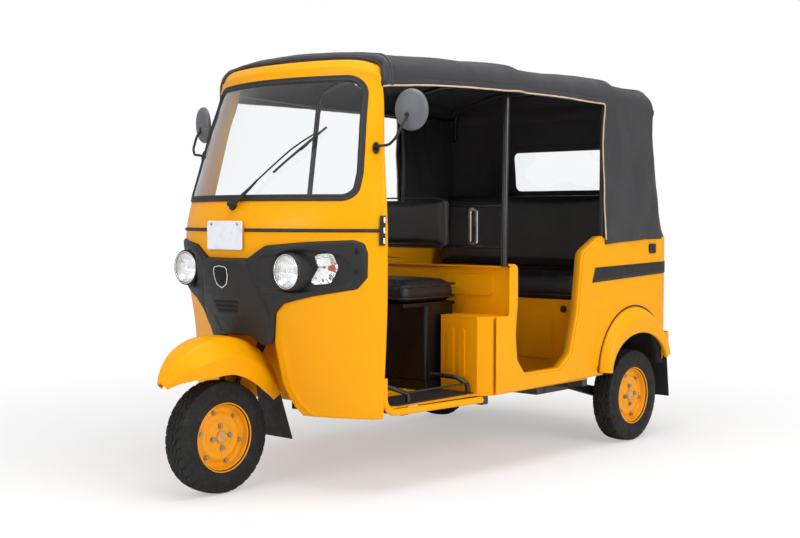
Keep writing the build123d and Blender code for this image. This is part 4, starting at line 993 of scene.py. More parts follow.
def make_hood():
    """Roof, shoulders and rear curtain in one grid; the part of the wall ahead of the curtain is left out
    below the hem. Bows press up from inside and the cloth sags between them."""
    corner = rounded([(1.586, .459), (1.558, .492), (1.455, .540), (1.300, .577), (.885, .604), (.186, .612),
                      (-.388, .607), (-.388, -.607), (.186, -.612), (.885, -.604), (1.300, -.577),
                      (1.455, -.540), (1.558, -.492), (1.586, -.459)],
                     [0, .04, .3, .8, 2, 2, .17, .17, 2, 2, .8, .3, .04, 0], closed=False)
    plan = spaced(corner, 0.013)
    near = int(np.argmin(np.abs(plan[:len(plan) // 2, 0] - CURTAIN_X)))
    plan[near, 0] = CURTAIN_X
    far = len(plan) - 1 - near
    plan[far] = plan[near] * (1, -1)
    x = plan[:, 0]
    along = np.clip(x, CORNER_START_X, HOOD_FRONT_X)
    start = hood_value(along, 2) - SHOULDER_RADIUS
    hem = np.interp(x, HEM_X, HEM_Z)
    low_rows, wall_rows = 46, 5
    dip = CURTAIN_LOW - 0.020 * np.clip((x + 0.10) / 0.39, 0, 1)
    low = dip[:, None] + (hem - dip)[:, None] * np.linspace(0, 1, low_rows)[None, :-1]
    wall = hem[:, None] + (start - hem)[:, None] * np.linspace(0, 1, wall_rows)[None, :-1]
    upper = np.concatenate([np.linspace(0, 1, 11)[:-1], np.linspace(1, 2, 34)])
    top, inward = hood_surface(plan, upper)
    below = []
    for part in (low, wall):
        rows, _ = hood_surface(plan, np.zeros(1))
        block = np.repeat(rows, part.shape[1], axis=1).copy()
        drop = part - block[..., 2]
        lean = np.interp(part, LEAN_Z, LEAN)
        lean0 = np.interp(block[..., 2], LEAN_Z, LEAN)
        rear = step_up(-(x + 0.20), 0.20)[:, None]
        block[..., 0] += rear * (lean - lean0)
        block[..., 2] += drop
        below.append(block)
    points = np.concatenate(below + [top], axis=1)
    columns, rows = points.shape[:2]
    # towards the header the roof's front bulges with the cab's curve, and its last 50 mm come down onto it
    ahead = np.clip(1 - (np.abs(points[..., 1]) / HEADER_HALF)**2, 0, 1) * 0.112
    points[..., 0] += ahead * (1 - step_up(HOOD_FRONT_X - x, 0.32))[:, None]
    z_end = np.linspace(1.520, 1.592, 12)
    y_top = HEADER_HALF * np.linspace(1, 0, 60)
    over_header = cab_point(y_top, header_top(y_top), np.full(60, -0.34 * 0.038)) + (-0.012, 0, 0.006)
    border = np.concatenate([np.stack([cab_level(z_end)[1] - 0.004, cab_level(z_end)[2] + 0.004, z_end], 1),
                             over_header])
    upper_rows = points[0, low_rows - 1:]
    run = np.concatenate([[0], np.cumsum(np.linalg.norm(np.diff(upper_rows, axis=0), axis=1))])
    along_border = np.concatenate([[0], np.cumsum(np.linalg.norm(np.diff(border, axis=0), axis=1))])
    onto = np.stack([np.interp(run / run[-1], along_border / along_border[-1],
                               border[:, k]) for k in range(3)], 1)
    for end, side in ((slice(0, 6), 1), (slice(-1, -7, -1), -1)):
        share = (1 - step_up(np.arange(6) * 0.013, 0.046))[:, None, None]
        near_edge = points[end, low_rows - 1:]
        shifted = onto[None] * (1, side, 1) - (np.arange(6) * 0.013)[:, None, None] * np.array([1, 0, 0])
        points[end, low_rows - 1:] = near_edge + (shifted - near_edge) * share
    px, py, pz = points[..., 0], points[..., 1], points[..., 2]
    out = -np.concatenate([inward, np.zeros_like(inward[..., :1])], -1)
    upward = np.clip((pz - 1.50) / 0.12, 0, 1)[..., None]
    out = out * (1 - upward) + np.array([0, 0, 1.0]) * upward
    bows = sum(np.exp(-((px - at) / width)**2) for at, width in BOWS)
    press = 0.010 * bows * np.clip((pz - 1.46) / 0.1, 0, 1) * (px < 1.55)
    sag = -0.006 * np.clip((pz - 1.56) / 0.06, 0, 1) * np.sin(np.clip((px - 0.245) / 0.69, 0, 1) * np.pi)**2
    soft = 0.0030 * folds(px, py, pz, 0.55) + 0.0012 * folds(px, py, pz, 0.2)
    slack = np.clip((1.50 - pz) / 0.3, 0, 1)
    soft += 0.004 * slack * np.sin(py * 24 + px * 31 + 2.0 * np.sin(pz * 6)) * np.exp(-((pz - 1.2) / 0.35)**2)
    # drag lines that run down from the shoulder at the rear post
    soft += 0.004 * np.exp(-((px - 0.19 + 0.25 * (1.55 - pz)) / 0.018)**2) * np.clip((pz - 1.2) / 0.2, 0, 1)
    soft -= 0.003 * np.exp(-((px - 0.12 + 0.30 * (1.55 - pz)) / 0.022)**2) * np.clip((pz - 1.1) / 0.2, 0, 1)
    hemline = np.exp(-((pz - CURTAIN_LOW) / 0.012)**2) * 0.002
    points = points + out * (press + sag + soft + hemline - 0.002)[..., None]
    half_way = columns // 2
    points[-half_way:, -1] = points[:half_way, -1][::-1]
    # the curtain's front edge bows a little
    edge = np.interp(pz, [0.94, 1.36, 1.50, 1.54], [-0.024, 0.010, -0.002, 0.0])
    points[..., 0] += edge * np.exp(-((px - CURTAIN_X) / 0.06)**2) * (pz < 1.54)
    index = np.arange(columns * rows).reshape(columns, rows)
    quad = np.stack([index[:-1, :-1], index[1:, :-1], index[1:, 1:], index[:-1, 1:]], -1)
    keep = np.ones(quad.shape[:2], bool)
    open_column = (np.arange(columns - 1) < near) | (np.arange(columns - 1) >= far)
    keep[np.ix_(open_column, np.arange(low_rows - 1))] = False
    middle = points.reshape(-1, 3)[quad].mean(2)
    w, z0, z1 = WINDOW
    on_back = (middle[..., 0] < -0.25) & (np.abs(middle[..., 1]) < w - 0.006)
    window = on_back & (middle[..., 2] > z0 + 0.006) & (middle[..., 2] < z1 - 0.006)
    keep &= ~window
    sheet = piece("hood_sheet", *welded(points, quad[keep]), "body", "canopy_cloth", "canopy_cloth", 0.004)
    sheet.modifiers["wall"].use_even_offset = False
    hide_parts("canopy")

    def wall_point(s_index, z, lift=0.003):
        """Point on one column of the hood's wall at a height, lifted off the cloth."""
        grid_column = points[s_index]
        k = [np.interp(z, grid_column[:low_rows + wall_rows, 2],
                       grid_column[:low_rows + wall_rows, i]) for i in range(3)]
        return np.array(k) + out[s_index, 0] * lift

    # hem tape and piping
    strips, pipes = [], []
    for side in (0, 1):
        order = range(0, near + 1) if side == 0 else range(columns - 1, far - 1, -1)
        hem_line = np.array([points[i, low_rows - 1] + out[i, 0] * 0.003 for i in order])
        post = near if side == 0 else far
        curtain = np.array([wall_point(post, z) for z in np.linspace(1.53, CURTAIN_LOW, 60)])
        pipes.append(swept(spaced(np.concatenate([hem_line, curtain]), 0.012), ring_profile(0.0034, 10),
                           up="carried"))
        strip_path = spaced(hem_line + (0, 0, 0.012), 0.02)
        strips.append(swept(strip_path, bar_profile(0.003, 0.020, 0.3), up=(0, 0, 1)))
    edging = piece("hood_piping", *joined(pipes), "body", "piping_beige", "canopy_cloth")
    tape = piece("hood_hem_tape", *joined(strips), "body", "canopy_cloth", "canopy_cloth")
    # front edge roll over the header
    front_line = np.concatenate([points[0, low_rows - 1:], points[-1, low_rows - 1:][::-1]])
    roll = piece("hood_front_roll", *swept(spaced(front_line, 0.014), ring_profile(0.0045, 12),
                                           up="carried"), "body",
                 "canopy_cloth", "canopy_cloth")
    # border band over the front edge with a cord sewn along its back
    lifted = points[:, low_rows - 1:] + out[:, low_rows - 1:] * 0.0035
    over = np.stack([np.concatenate([lifted[i], lifted[-1 - i][::-1]]) for i in range(4)])
    band_faces = grid_faces(4, over.shape[1])
    border_band = piece("hood_front_band", *welded(over, band_faces), "body", "border_cloth", "canopy_cloth",
                        0.002)
    border_band.modifiers["wall"].use_even_offset = False
    cord = piece("hood_front_cord", *swept(spaced(over[3], 0.012), ring_profile(0.005, 10), up="carried"),
                 "body",
                 "border_cloth", "canopy_cloth")
    # rear window
    rear = np.argmin(np.abs(plan[:, 1]))

    def back_at(y, z):
        """x of the rear curtain's middle column at a height, for every y."""
        column = points[rear]
        return np.interp(z, column[:low_rows, 2], column[:low_rows, 0]) + 0 * y
    frame_line = rounded([(-w, z0), (w, z0), (w, z1), (-w, z1)], 0.045, step=0.006)
    frame_line = spaced(frame_line, 0.012, closed=True)
    path = np.stack([back_at(frame_line[:, 0], frame_line[:, 1]), frame_line[:, 0], frame_line[:, 1]], 1)
    normals = np.tile([-1.0, 0, 0.2], (len(path), 1))
    band = piece("rear_window_band", *swept(path, bar_profile(0.034, 0.010, 0.3), closed=True,
                                            normals=normals),
                 "body", "canopy_cloth", "canopy_cloth")
    flat, faces = cut_sheet(rounded([(-w, z0), (w, z0), (w, z1), (-w, z1)], 0.04), [], 0.02)
    ripple = 0.002 * np.sin(flat[:, 0] * 22 + 1.0) * np.sin(flat[:, 1] * 31)
    film = piece("rear_window_film", np.stack([back_at(flat[:, 0], flat[:, 1]) + ripple, flat[:, 0],
                                               flat[:, 1]], 1),
                 faces, "body", "clear_glass", "clear_glass", 0.0012)


# ------------------------------------------------------------------ sides and rear corners
SIDE_STRAIGHT, CORNER = 1.064 + 0.232, 0.140
SIDE_END = SIDE_STRAIGHT + CORNER * np.pi / 2 + 0.016


def side_place(run, z, out, side):
    """Points of a side: `run` is the distance back from the front edge along the skin, straight and then
    round the rear corner, an arc of radius CORNER; `out` stands off it."""
    run = np.asarray(run, float)
    turn = np.clip((run - SIDE_STRAIGHT) / CORNER, 0, np.pi / 2)
    past = np.maximum(run - SIDE_STRAIGHT - CORNER * np.pi / 2, 0)
    radius = CORNER + out
    bent = run > SIDE_STRAIGHT
    x = np.where(bent, -0.232 - radius * np.sin(turn), 1.064 - run)
    y = np.where(bent, 0.460 + radius * np.cos(turn) - past, 0.600 + out)
    return np.stack([x, side * y, np.asarray(z, float) + 0 * x], -1)


# the near side's outline as (distance back from the front edge, height), and the radius of each corner
SIDE = [
    (0, .326), (0, .638), (.086, .638), (.086, .838), (.143, .838), (.144, .700), (.130, .560), (.142, .452),
    (.200, .386), (.460, .386), (.542, .440), (.594, .612), (.632, .880), (.764, .946), (SIDE_END, .946),
    (SIDE_END, .492), (1.356, .492), (1.350, .372), (1.304, .334), (.824, .334)]
SIDE_ROUND = [
    .004, .004, .010, .010, .012, .060, .060, .050, .045, .045,
    .05, .12, .04, .06, .004, .004, .004, .02, .004, .004]


def make_sides():
    """Side skins with pressed fields, the doorway's rolled flange and the bead along its edge."""
    outline = rounded(SIDE, SIDE_ROUND, step=0.006)
    arch = np.stack([1.064 + 0.268 * np.cos(np.linspace(0, TAU, 90, endpoint=False)),
                     0.338 + 0.268 * np.sin(np.linspace(0, TAU, 90, endpoint=False))], 1)
    points, faces = cut_sheet(outline, [], 0.009)
    middle = points[faces].mean(1)
    faces = faces[~inside(middle, arch)]
    run, z = points[:, 0], points[:, 1]
    out = np.zeros(len(run))
    fields = []
    for low_x, high_x, low_z, high_z in ((0.62, 0.80, 0.345, 0.375), (0.25, 0.42, 0.345, 0.372)):
        fields.append([(low_x, low_z), (high_x, low_z), (high_x, high_z), (low_x, high_z)])
    for field in fields:
        out -= 0.004 * step_up(depth_in(points, rounded(field, 0.010, step=0.004)) - 0.002, 0.008)
    quarter = rounded([(.690, .700), (.790, .690), (.800, .640), (.720, .646)], 0.012, step=0.004)
    out -= 0.004 * step_up(depth_in(points, quarter) - 0.002, 0.008)
    ridge = rounded([(.660, .880), (1.30, .880), (1.30, .868), (.660, .868)], 0.004, step=0.004)
    out += 0.0015 * step_up(depth_in(points, ridge), 0.006)
    skins, lips = [], []
    for side in (1, -1):
        part = (side_place(run, z, out, side), faces)
        part = (part[0], part[1][:, ::-1] if side > 0 else part[1])
        skins.append(part)
        door = rounded([(.086, .838), (.143, .838), (.144, .700), (.130, .560), (.142, .452), (.200, .386),
                        (.460, .386), (.542, .440), (.594, .612), (.632, .880), (.764, .946), (1.20, .946)],
                       [0, .012, .06, .06, .05, .045, .045, .05, .12, .04, .06, 0], step=0.006, closed=False)
        door = spaced(door, 0.008)
        ahead = np.gradient(door, axis=0)
        normal = np.stack([ahead[:, 1], -ahead[:, 0]], 1)
        normal /= np.linalg.norm(normal, axis=1)[:, None]
        turn = np.linspace(0, np.pi / 2, 7)
        profile = np.concatenate([np.stack([0.009 * np.sin(turn), 0.009 * np.cos(turn) - 0.009 + 0.001], 1),
                                  [[0.009, -0.036], [0.006, -0.036], [0.006, -0.010]]])
        into = -profile[:, 0]
        rings = np.stack([door[:, None, 0] + normal[:, None, 0] * into,
                          door[:, None, 1] + normal[:, None, 1] * into,
                          0 * into + profile[None, :, 1] + 0 * door[:, None, 0]], -1)
        placed_ring = side_place(rings[..., 0], rings[..., 1], rings[..., 2], side)
        f = grid_faces(len(door), len(profile), False, True)
        lips.append((placed_ring, f if side > 0 else f[:, ::-1]))
    skin = piece("side_skins", *joined(skins), "body", "body_paint", "body_paint", 0.004)
    skin.modifiers["wall"].use_even_offset = False
    lip = piece("doorway_flanges", *joined(lips), "body", "body_paint", "body_paint")
    ledge = []
    y = np.linspace(-0.592, 0.592, 50)
    deep = np.array([-0.157, -0.232, -0.270, -0.310, -0.340, -0.366])[:, None]
    half = 0.455 + np.sqrt(0.137**2 - np.clip(-0.232 - deep, 0, 0.134)**2)
    rows = np.stack([deep + 0 * y, y / 0.592 * half, 0.9445 + 0 * y + 0 * deep], -1)
    ledge.append((rows, grid_faces(6, 50)[:, ::-1]))
    top = piece("rear_ledge", *joined(ledge), "body", "body_paint", "body_paint", 0.003)
    for part in (skin, lip, top):
        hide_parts("rear_body")
    # blank dark band under the hood's hem on the rear quarters
    bands = []
    for side in (1, -1):
        u, v = np.meshgrid(np.linspace(0, 1, 30), np.linspace(0, 1, 5))
        run = 0.722 + (1 - v) * -0.024 + (SIDE_STRAIGHT + 0.13 - 0.722) * u
        zz = 0.750 + 0.027 * u + (0.066 - 0.011 * u) * v
        part = side_place(run, zz, 0.0062, side)
        f = grid_faces(5, 30)
        bands.append((part, f[:, ::-1] if side > 0 else f))
    piece("quarter_bands", *joined(bands), "body", "trim_black", "trim_black", 0.0008)


def make_fenders():
    """Flares: from an outer arch on the skin to a lower, flatter inner arch; between them y swells as a
    quarter sine, then a lip turns in. Behind each, a wheel house: a half round band closed by a wall."""
    angle = np.linspace(0.03, np.pi - 0.22, 90)
    share = np.linspace(0, 1, 16)
    made, houses, beads = [], [], []
    for side in (1, -1):
        outer = np.stack([0.010 + 0.296 * np.cos(angle), 0.338 + 0.290 * np.sin(angle)], 1)[:, None]
        inner = np.stack([0.006 + 0.246 * np.cos(angle), 0.338 + 0.172 * np.sin(angle)], 1)[:, None]
        flat = outer + (inner - outer) * share[None, :, None]
        swell = 0.602 + 0.050 * np.sin(np.clip(share * 1.9, 0, 1) * np.pi / 2)**0.8 - 0.006 * share**2
        rings = np.stack([flat[..., 0], 0 * flat[..., 0] + swell, flat[..., 1]], -1)
        lip = rings[:, -1:] + np.array([[0.0, -0.004, -0.003], [0.0, -0.012, -0.001],
                                        [0.0, -0.022, 0.003]])[None]
        points = np.concatenate([rings, lip], axis=1) * (1, side, 1)
        f = grid_faces(90, points.shape[1])
        made.append((points, f if side > 0 else f[:, ::-1]))
        arc = np.linspace(0, np.pi, 60)
        depth = np.array([0.598, 0.52, 0.44, 0.36])
        house = np.stack([0.276 * np.cos(arc)[:, None] + 0 * depth, side * depth + 0 * arc[:, None],
                          0.338 + 0.276 * np.sin(arc)[:, None] + 0 * depth], -1)
        f = grid_faces(60, 4)
        houses.append((house, f[:, ::-1] if side > 0 else f))
        u = np.linspace(0, 1, 8)
        wall = np.stack([0.276 * np.cos(arc)[:, None] + 0 * u, side * 0.36 + 0 * u + 0 * arc[:, None],
                         0.338 + 0.276 * np.sin(arc)[:, None] * (1 - 0.86 * u)], -1)
        f = grid_faces(60, 8)
        houses.append((wall, f[:, ::-1] if side > 0 else f))
        path = outer[:, 0] + 0.003 * np.stack([np.cos(angle), np.sin(angle)], 1)
        path = np.stack([path[:, 0], side * 0.6035 + 0 * angle, path[:, 1]], 1)
        beads.append(swept(path, ring_profile(0.0035, 10), up=(0, side, 0)))
    flare = piece("fender_flares", *joined(made), "body", "body_paint", "body_paint", 0.003)
    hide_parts("rear_fenders")
    piece("fender_beads", *joined(beads), "body", "rubber_black", "rubber_black")
    # the wheel houses are near-black trim: painted shade inside the arches
    piece("wheel_houses", *joined(houses), "body", "trim_black", "trim_black", 0.002)


# ------------------------------------------------------------------ front mudguard
# angle about the axle, radius of the crest, half width, depth of the sides
GUARD = np.array([
    (39, .346, .012, .026), (45, .357, .042, .048), (55, .369, .074, .084), (68, .380, .092, .122),
    (90, .379, .101, .136), (112, .366, .101, .138), (135, .341, .093, .112), (150, .322, .080, .072)])


def make_mudguard():
    """Sections turned about the wheel's axle: crown, a soft crease at half the width, upright sides. Crest
    radius, half width and side depth run smoothly with the angle."""
    unit = [(-1, 1), (-1.0, .52), (-.56, .05), (.56, .05), (1.0, .52), (1, 1)]
    profile = rounded(unit, [0, .16, .10, .10, .16, 0], step=0.02, closed=False)
    profile = spaced(profile, 0.035)
    profile[:, 1] -= 0.04 * (1 - np.clip(np.abs(profile[:, 0]) / 0.56, 0, 1)**2)
    angle = np.linspace(40, 150, 110)
    crest, half, depth = (through(angle, GUARD[:, 0], GUARD[:, k]) for k in (1, 2, 3))
    half = np.sqrt(np.clip((angle - 38.5) / 20, 0, 1)) * np.maximum(half, 0.05) * 0.4 + half * 0.6
    radius = crest[:, None] - depth[:, None] * profile[None, :, 1]
    across = half[:, None] * profile[None, :, 0]
    a = np.radians(angle)[:, None]
    points = np.stack([2.0 + radius * np.cos(a), across, 0.212 + radius * np.sin(a)], -1)
    guard = piece("front_guard", points.reshape(-1, 3), grid_faces(110, len(profile))[:, ::-1], "steering",
                  "body_paint", "body_paint", 0.003)
    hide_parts("front_mudguard")
    rims = []
    for k in (0, -1):
        rims.append(swept(points[:, k], ring_profile(0.0035, 8), up=(0, 1, 0)))
    piece("front_guard_rims", *joined(rims), "steering", "body_paint", "body_paint")


# ------------------------------------------------------------------ wheels
def tread_depth(angle, across):
    """Depth of the tread pattern: three zigzag grooves round the tyre and slanted slots at the shoulders."""
    pitch = angle * 34 / TAU
    zig = np.abs((pitch % 1) * 2 - 1) * 2 - 1
    depth = np.zeros_like(angle + across)
    for centre, swing in ((0.0, 0.0055), (0.021, 0.005), (-0.021, 0.005)):
        depth = np.maximum(depth, 1 - step_up(np.abs(across - centre - swing * zig) - 0.0026, 0.0022))
    slot = np.abs(((pitch + np.abs(across) * 16) % 1) - 0.5) * TAU / 34 * 0.2
    depth = np.maximum(depth, (1 - step_up(slot - 0.0022, 0.002)) * step_up(np.abs(across) - 0.030, 0.006))
    fine = np.abs(((pitch * 2 + np.abs(across) * 24) % 1) - 0.5) * TAU / 68 * 0.2
    depth = np.maximum(depth, 0.35 * (1 - step_up(fine - 0.0008, 0.0012)) * (np.abs(across) < 0.034))
    return depth


def make_tyre(name, node, hub, body):
    """Closed ring, a grid of angle x profile: flat crown, rounded shoulders, bulged sidewalls with raised
    rings."""
    crown = np.linspace(-0.043, 0.043, 60)
    top = 0.2115 - 0.0035 * (crown / 0.043)**2
    t = np.linspace(0, 1, 30)[1:]
    drawn_in = 0.011 * np.clip(t - 0.55, 0, 1)**2 / 0.2
    side_y = 0.043 + 0.0105 * np.sin(np.clip(t * 1.9, 0, 1) * np.pi / 2) - drawn_in
    side_r = 0.208 - 0.084 * t - 0.004 * np.sin(t * np.pi)
    side_y = side_y + 0.0008 * np.exp(-((t - 0.30) / 0.03)**2) + 0.0010 * np.exp(-((t - 0.80) / 0.03)**2)
    inner = np.array([(0.036, 0.122), (0.030, 0.128), (0.030, 0.17), (0.0, 0.19)])
    right = np.stack([side_y, side_r], 1)
    profile = np.concatenate([np.stack([crown, top], 1), right, inner, (inner * (-1, 1))[::-1][1:],
                              (right * (-1, 1))[::-1]])
    is_crown = np.arange(len(profile)) < 60
    sides = 544
    angle = np.linspace(0, TAU, sides, endpoint=False)[:, None]
    across = profile[None, :, 0]
    radius = profile[None, :, 1] - 0.0058 * np.where(is_crown[None], tread_depth(angle, across), 0)
    shoulder = np.clip(1 - np.abs(profile[None, :, 1] - 0.196) / 0.010, 0, 1) * (np.abs(across) > 0.044)
    notch = 1 - step_up(np.abs(((angle * 34 / TAU + 0.7) % 1) - 0.5) * TAU / 34 * 0.2 - 0.0035, 0.002)
    push = 0.0022 * shoulder * notch * np.sign(across)
    points = np.stack([hub[0] + radius * np.sin(angle), hub[1] + across + 0 * angle - push,
                       hub[2] + radius * np.cos(angle)], -1)
    tyre = piece(name, points.reshape(-1, 3), grid_faces(sides, len(profile), True, True)[:, ::-1], body,
                 "tyre_rubber",
                 "tyre_rubber")
    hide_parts(node)


def make_rim(name, node, hub, body, side):
    """Two-piece pressed rim: rolled flange, stepped well, dished disc and a raised hub seat, turned about the
    axle; split-rim nuts, hub nuts and a small cap stand on it."""
    outer = np.array([(.0465, .1265), (.0470, .1300), (.0450, .1325), (.0415, .1325), (.0400, .1290),
                      (.0395, .1240),
                      (.0370, .1200), (.0250, .1175), (.0160, .1150), (.0120, .1100), (.0115, .1030),
                      (.0130, .0960),
                      (.0175, .0900), (.0215, .0840), (.0225, .0780), (.0205, .0700), (.0185, .0640),
                      (.0190, .0560), (.0215, .0500), (.0230, .0440), (.0235, .0340), (.0240, .0180)])
    inner = np.array([(.010, .0180), (.008, .05), (.004, .09), (.002, .104), (-.010, .108), (-.030, .112),
                      (-.040, .118), (-.044, .126), (-.047, .1320), (-.044, .1330), (-.040, .1290),
                      (-.036, .122), (-.02, .1175), (.0, .1175), (.030, .1215), (.040, .1255)])
    profile = np.concatenate([outer, inner])
    profile = spaced(np.concatenate([profile, profile[:1]]), 0.0035)[:-1] * (side, 1)
    points, _ = lathe(profile, 120, hub, "y")
    faces = grid_faces(120, len(profile), True, True)
    rim = piece(name, points, faces[:, ::-1] if side < 0 else faces, body, "wheel_paint", "wheel_paint")
    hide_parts(node)
    nuts = []
    hexagon = lambda r, low, high: [(low, r), (high, r), (high + 0.001, r * 0.85), (high + 0.001, 0.0003)]
    for count, circle, size, low, offset in ((6, 0.0965, 0.0085, 0.013, 0.3),
                                             (4, 0.0420, 0.0100, 0.022, 0.1)):
        for k in range(count):
            a = TAU * k / count + offset
            centre = np.array(hub) + (circle * np.sin(a), 0, circle * np.cos(a))
            p, f = lathe(np.array(hexagon(size, side * low, side * (low + 0.009))), 6, centre, "y")
            nuts.append((p, f[:, ::-1] if side < 0 else f))
            p, f = lathe(np.array([(side * (low + 0.009), size * .5), (side * (low + 0.014), size * .5),
                                   (side * (low + 0.015), 0.0003)]), 12, centre, "y")
            nuts.append((p, f[:, ::-1] if side < 0 else f))
    piece(name + "_nuts", *joined(nuts), body, "bolt_metal", "bright_metal", smooth=False)
    cap = np.array([(.022, .0235), (.030, .0235), (.0335, .0215), (.0345, .015), (.0350, .0003)]) * (side, 1)
    p, f = lathe(cap, 32, hub, "y")
    piece(name + "_cap", p, f[:, ::-1] if side < 0 else f, body, "hub_cap_tan", "wheel_paint")


HUBS = {"front": ((2.0, 0, 0.212), "front_wheel", 1), "rear_left": ((0, 0.556, 0.212), "rear_wheel_left", 1),
        "rear_right": ((0, -0.556, 0.212), "rear_wheel_right", -1)}


# ------------------------------------------------------------------ padded seats
def block(low, high, edge, step=0.012, crown=0.0):
    """Closed rounded box: each face is a grid drawn in to a core and pushed out again by at most
    `edge`, so edges and corners have that radius; the top is crowned by crown * (1 - u^4)(1 - v^4)."""
    low, high = np.array(low, float), np.array(high, float)
    size = (high - low) / 2
    centre = (high + low) / 2
    n = [max(6, int(2 * s / step)) for s in size]
    parts = []
    for axis in range(3):
        for sign in (1, -1):
            a, b = [k for k in range(3) if k != axis]
            u, v = np.meshgrid(np.linspace(-1, 1, n[a]), np.linspace(-1, 1, n[b]), indexing="ij")
            p = np.zeros(u.shape + (3,))
            p[..., a], p[..., b], p[..., axis] = u * size[a], v * size[b], sign * size[axis]
            f = grid_faces(*u.shape)
            flip = (axis == 1) == (sign > 0)
            parts.append((p, f[:, ::-1] if flip else f))
    points, faces = joined(parts)
    inner = np.maximum(size - edge, 0.001)
    core = np.clip(points, -inner, inner)
    away = points - core
    length = np.linalg.norm(away, axis=1)[:, None]
    limit = np.where(length > edge, away / np.maximum(length, 1e-9) * edge, away)
    points = core + limit
    shape = (1 - np.abs(points[:, 0] / size[0])**4) * (1 - np.abs(points[:, 1] / size[1])**4)
    points[:, 2] += crown * np.clip(shape, 0, 1) * (points[:, 2] > 0)
    return points + centre, faces


def stuffed(name, part, node, pressure=4.0, cap=0.012, voxel=0.006, flat_below=None, lock=None,
            look="seat_leather"):
    """A leather cover blown up from inside: the closed form is remeshed, relaxed as cloth under pressure
    without gravity for 20 frames, and no point moves more than `cap`. Faces that rest on something
    stay flat."""
    points, faces = part
    mesh = bpy.data.meshes.new(name)
    mesh.from_pydata(placed(points).tolist(), [], faces)
    obj = bpy.data.objects.new(name, mesh)
    scene.collection.objects.link(obj)
    weld = obj.modifiers.new("weld", "WELD")
    weld.merge_threshold = 0.0008
    remesh = obj.modifiers.new("remesh", "REMESH")
    remesh.mode, remesh.voxel_size = "VOXEL", voxel
    graph = bpy.context.evaluated_depsgraph_get()
    solid = bpy.data.meshes.new_from_object(obj.evaluated_get(graph))
    obj.modifiers.clear()
    obj.data = solid
    start = np.empty(len(solid.vertices) * 3)
    solid.vertices.foreach_get("co", start)
    start = start.reshape(-1, 3)
    if lock is not None:
        group = obj.vertex_groups.new(name="held")
        held = np.nonzero(lock(start - REAR_AXLE))[0]
        group.add(held.tolist(), 1.0, "REPLACE")
    cloth = obj.modifiers.new("cloth", "CLOTH")
    settings = cloth.settings
    settings.use_pressure = True
    settings.uniform_pressure_force = pressure
    settings.quality = 4
    settings.mass = 0.3
    settings.tension_stiffness = settings.compression_stiffness = 18
    settings.bending_stiffness = 2.0
    settings.effector_weights.gravity = 0.0
    if lock is not None:
        settings.vertex_group_mass = "held"
    for frame_number in range(1, 21):
        scene.frame_set(frame_number)
    graph = bpy.context.evaluated_depsgraph_get()
    blown = bpy.data.meshes.new_from_object(obj.evaluated_get(graph))
    end = np.empty(len(blown.vertices) * 3)
    blown.vertices.foreach_get("co", end)
    end = end.reshape(-1, 3)
    obj.modifiers.clear()
    scene.frame_set(1)
    moved = end - start
    length = np.linalg.norm(moved, axis=1)[:, None]
    moved *= np.minimum(1, cap / np.maximum(length, 1e-9))
    end = start + moved
    if flat_below is not None:
        end[:, 2] = np.maximum(end[:, 2], flat_below)
    obj.data.vertices.foreach_set("co", end.ravel())
    obj.data.update()
    obj.data.polygons.foreach_set("use_smooth", [True] * len(obj.data.polygons))
    obj.data.materials.clear()
    obj.data.materials.append(looks[look])
    fine = obj.modifiers.new("fine", "SUBSURF")
    fine.levels = fine.render_levels = 1
    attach(obj, "body")
    if node:
        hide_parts(node)
    return obj


def seam_ring(low, high, corner, z, radius=0.0035):
    """Piping round a cushion at one height."""
    line = rounded([(low[0], low[1]), (high[0], low[1]), (high[0], high[1]), (low[0], high[1])], corner,
                   step=0.01)
    line = spaced(line, 0.012, closed=True)
    path = np.concatenate([line, np.full((len(line), 1), z)], 1)
    return swept(path, ring_profile(radius, 8), closed=True, up=(0, 0, 1))


def make_seats():
    """Driver's cushion and backrest, and the bench with its leaning back, each a stuffed cover, all but the
    bench's back piped.
    """
    seat = block((1.000, -0.352, 0.694), (1.338, 0.352, 0.770), 0.034, crown=0.006)
    stuffed("driver_cushion", seat, "driver_seat_cushion", cap=0.012, flat_below=0.6905)
    rings = [seam_ring((0.993, -0.359), (1.345, 0.359), 0.05, z) for z in (0.712, 0.762)]
    back = block((1.003, -0.327, 0.912), (1.050, 0.327, 1.116), 0.022)
    stuffed("driver_back_pad", back, "driver_backrest", cap=0.009)
    piece("driver_cushion_piping", *joined(rings), "body", "seat_leather", "seat_leather")
    line = rounded([(-0.326, 0.911), (0.326, 0.911), (0.326, 1.117), (-0.326, 1.117)], 0.034, step=0.01)
    line = spaced(line, 0.012, closed=True)
    path = np.stack([np.full(len(line), 1.052), line[:, 0], line[:, 1]], 1)
    piece("driver_back_piping", *swept(path, ring_profile(0.0035, 8), closed=True, up=(1, 0, 0)),
          "body", "seat_leather", "seat_leather")
    bench = block((-0.030, -0.530, 0.672), (0.390, 0.530, 0.774), 0.036, step=0.016, crown=0.006)
    stuffed("bench_cushion", bench, "passenger_seat_cushion", cap=0.013, voxel=0.008, flat_below=0.6685)
    seams = [seam_ring((-0.037, -0.537), (0.397, 0.537), 0.04, z) for z in (0.690, 0.766)]
    piece("bench_piping", *joined(seams), "body", "seat_leather", "seat_leather")
    points, faces = block((-0.5, -0.530, 0.0), (0.5, 0.530, 0.37), 0.03, step=0.016)
    u, v = points[:, 0] + 0.5, points[:, 2] / 0.37
    front = 0.068 - 0.056 * v
    rear = -0.034 - 0.050 * np.clip(v / 0.42, 0, 1) + 0.012 * np.clip((v - 0.42) / 0.58, 0, 1)
    z = 0.792 + 0.364 * v
    leaned = np.stack([rear + (front - rear) * u, points[:, 1], z], 1)
    stuffed("bench_back", (leaned, faces), "passenger_seat_back", cap=0.012, voxel=0.008)


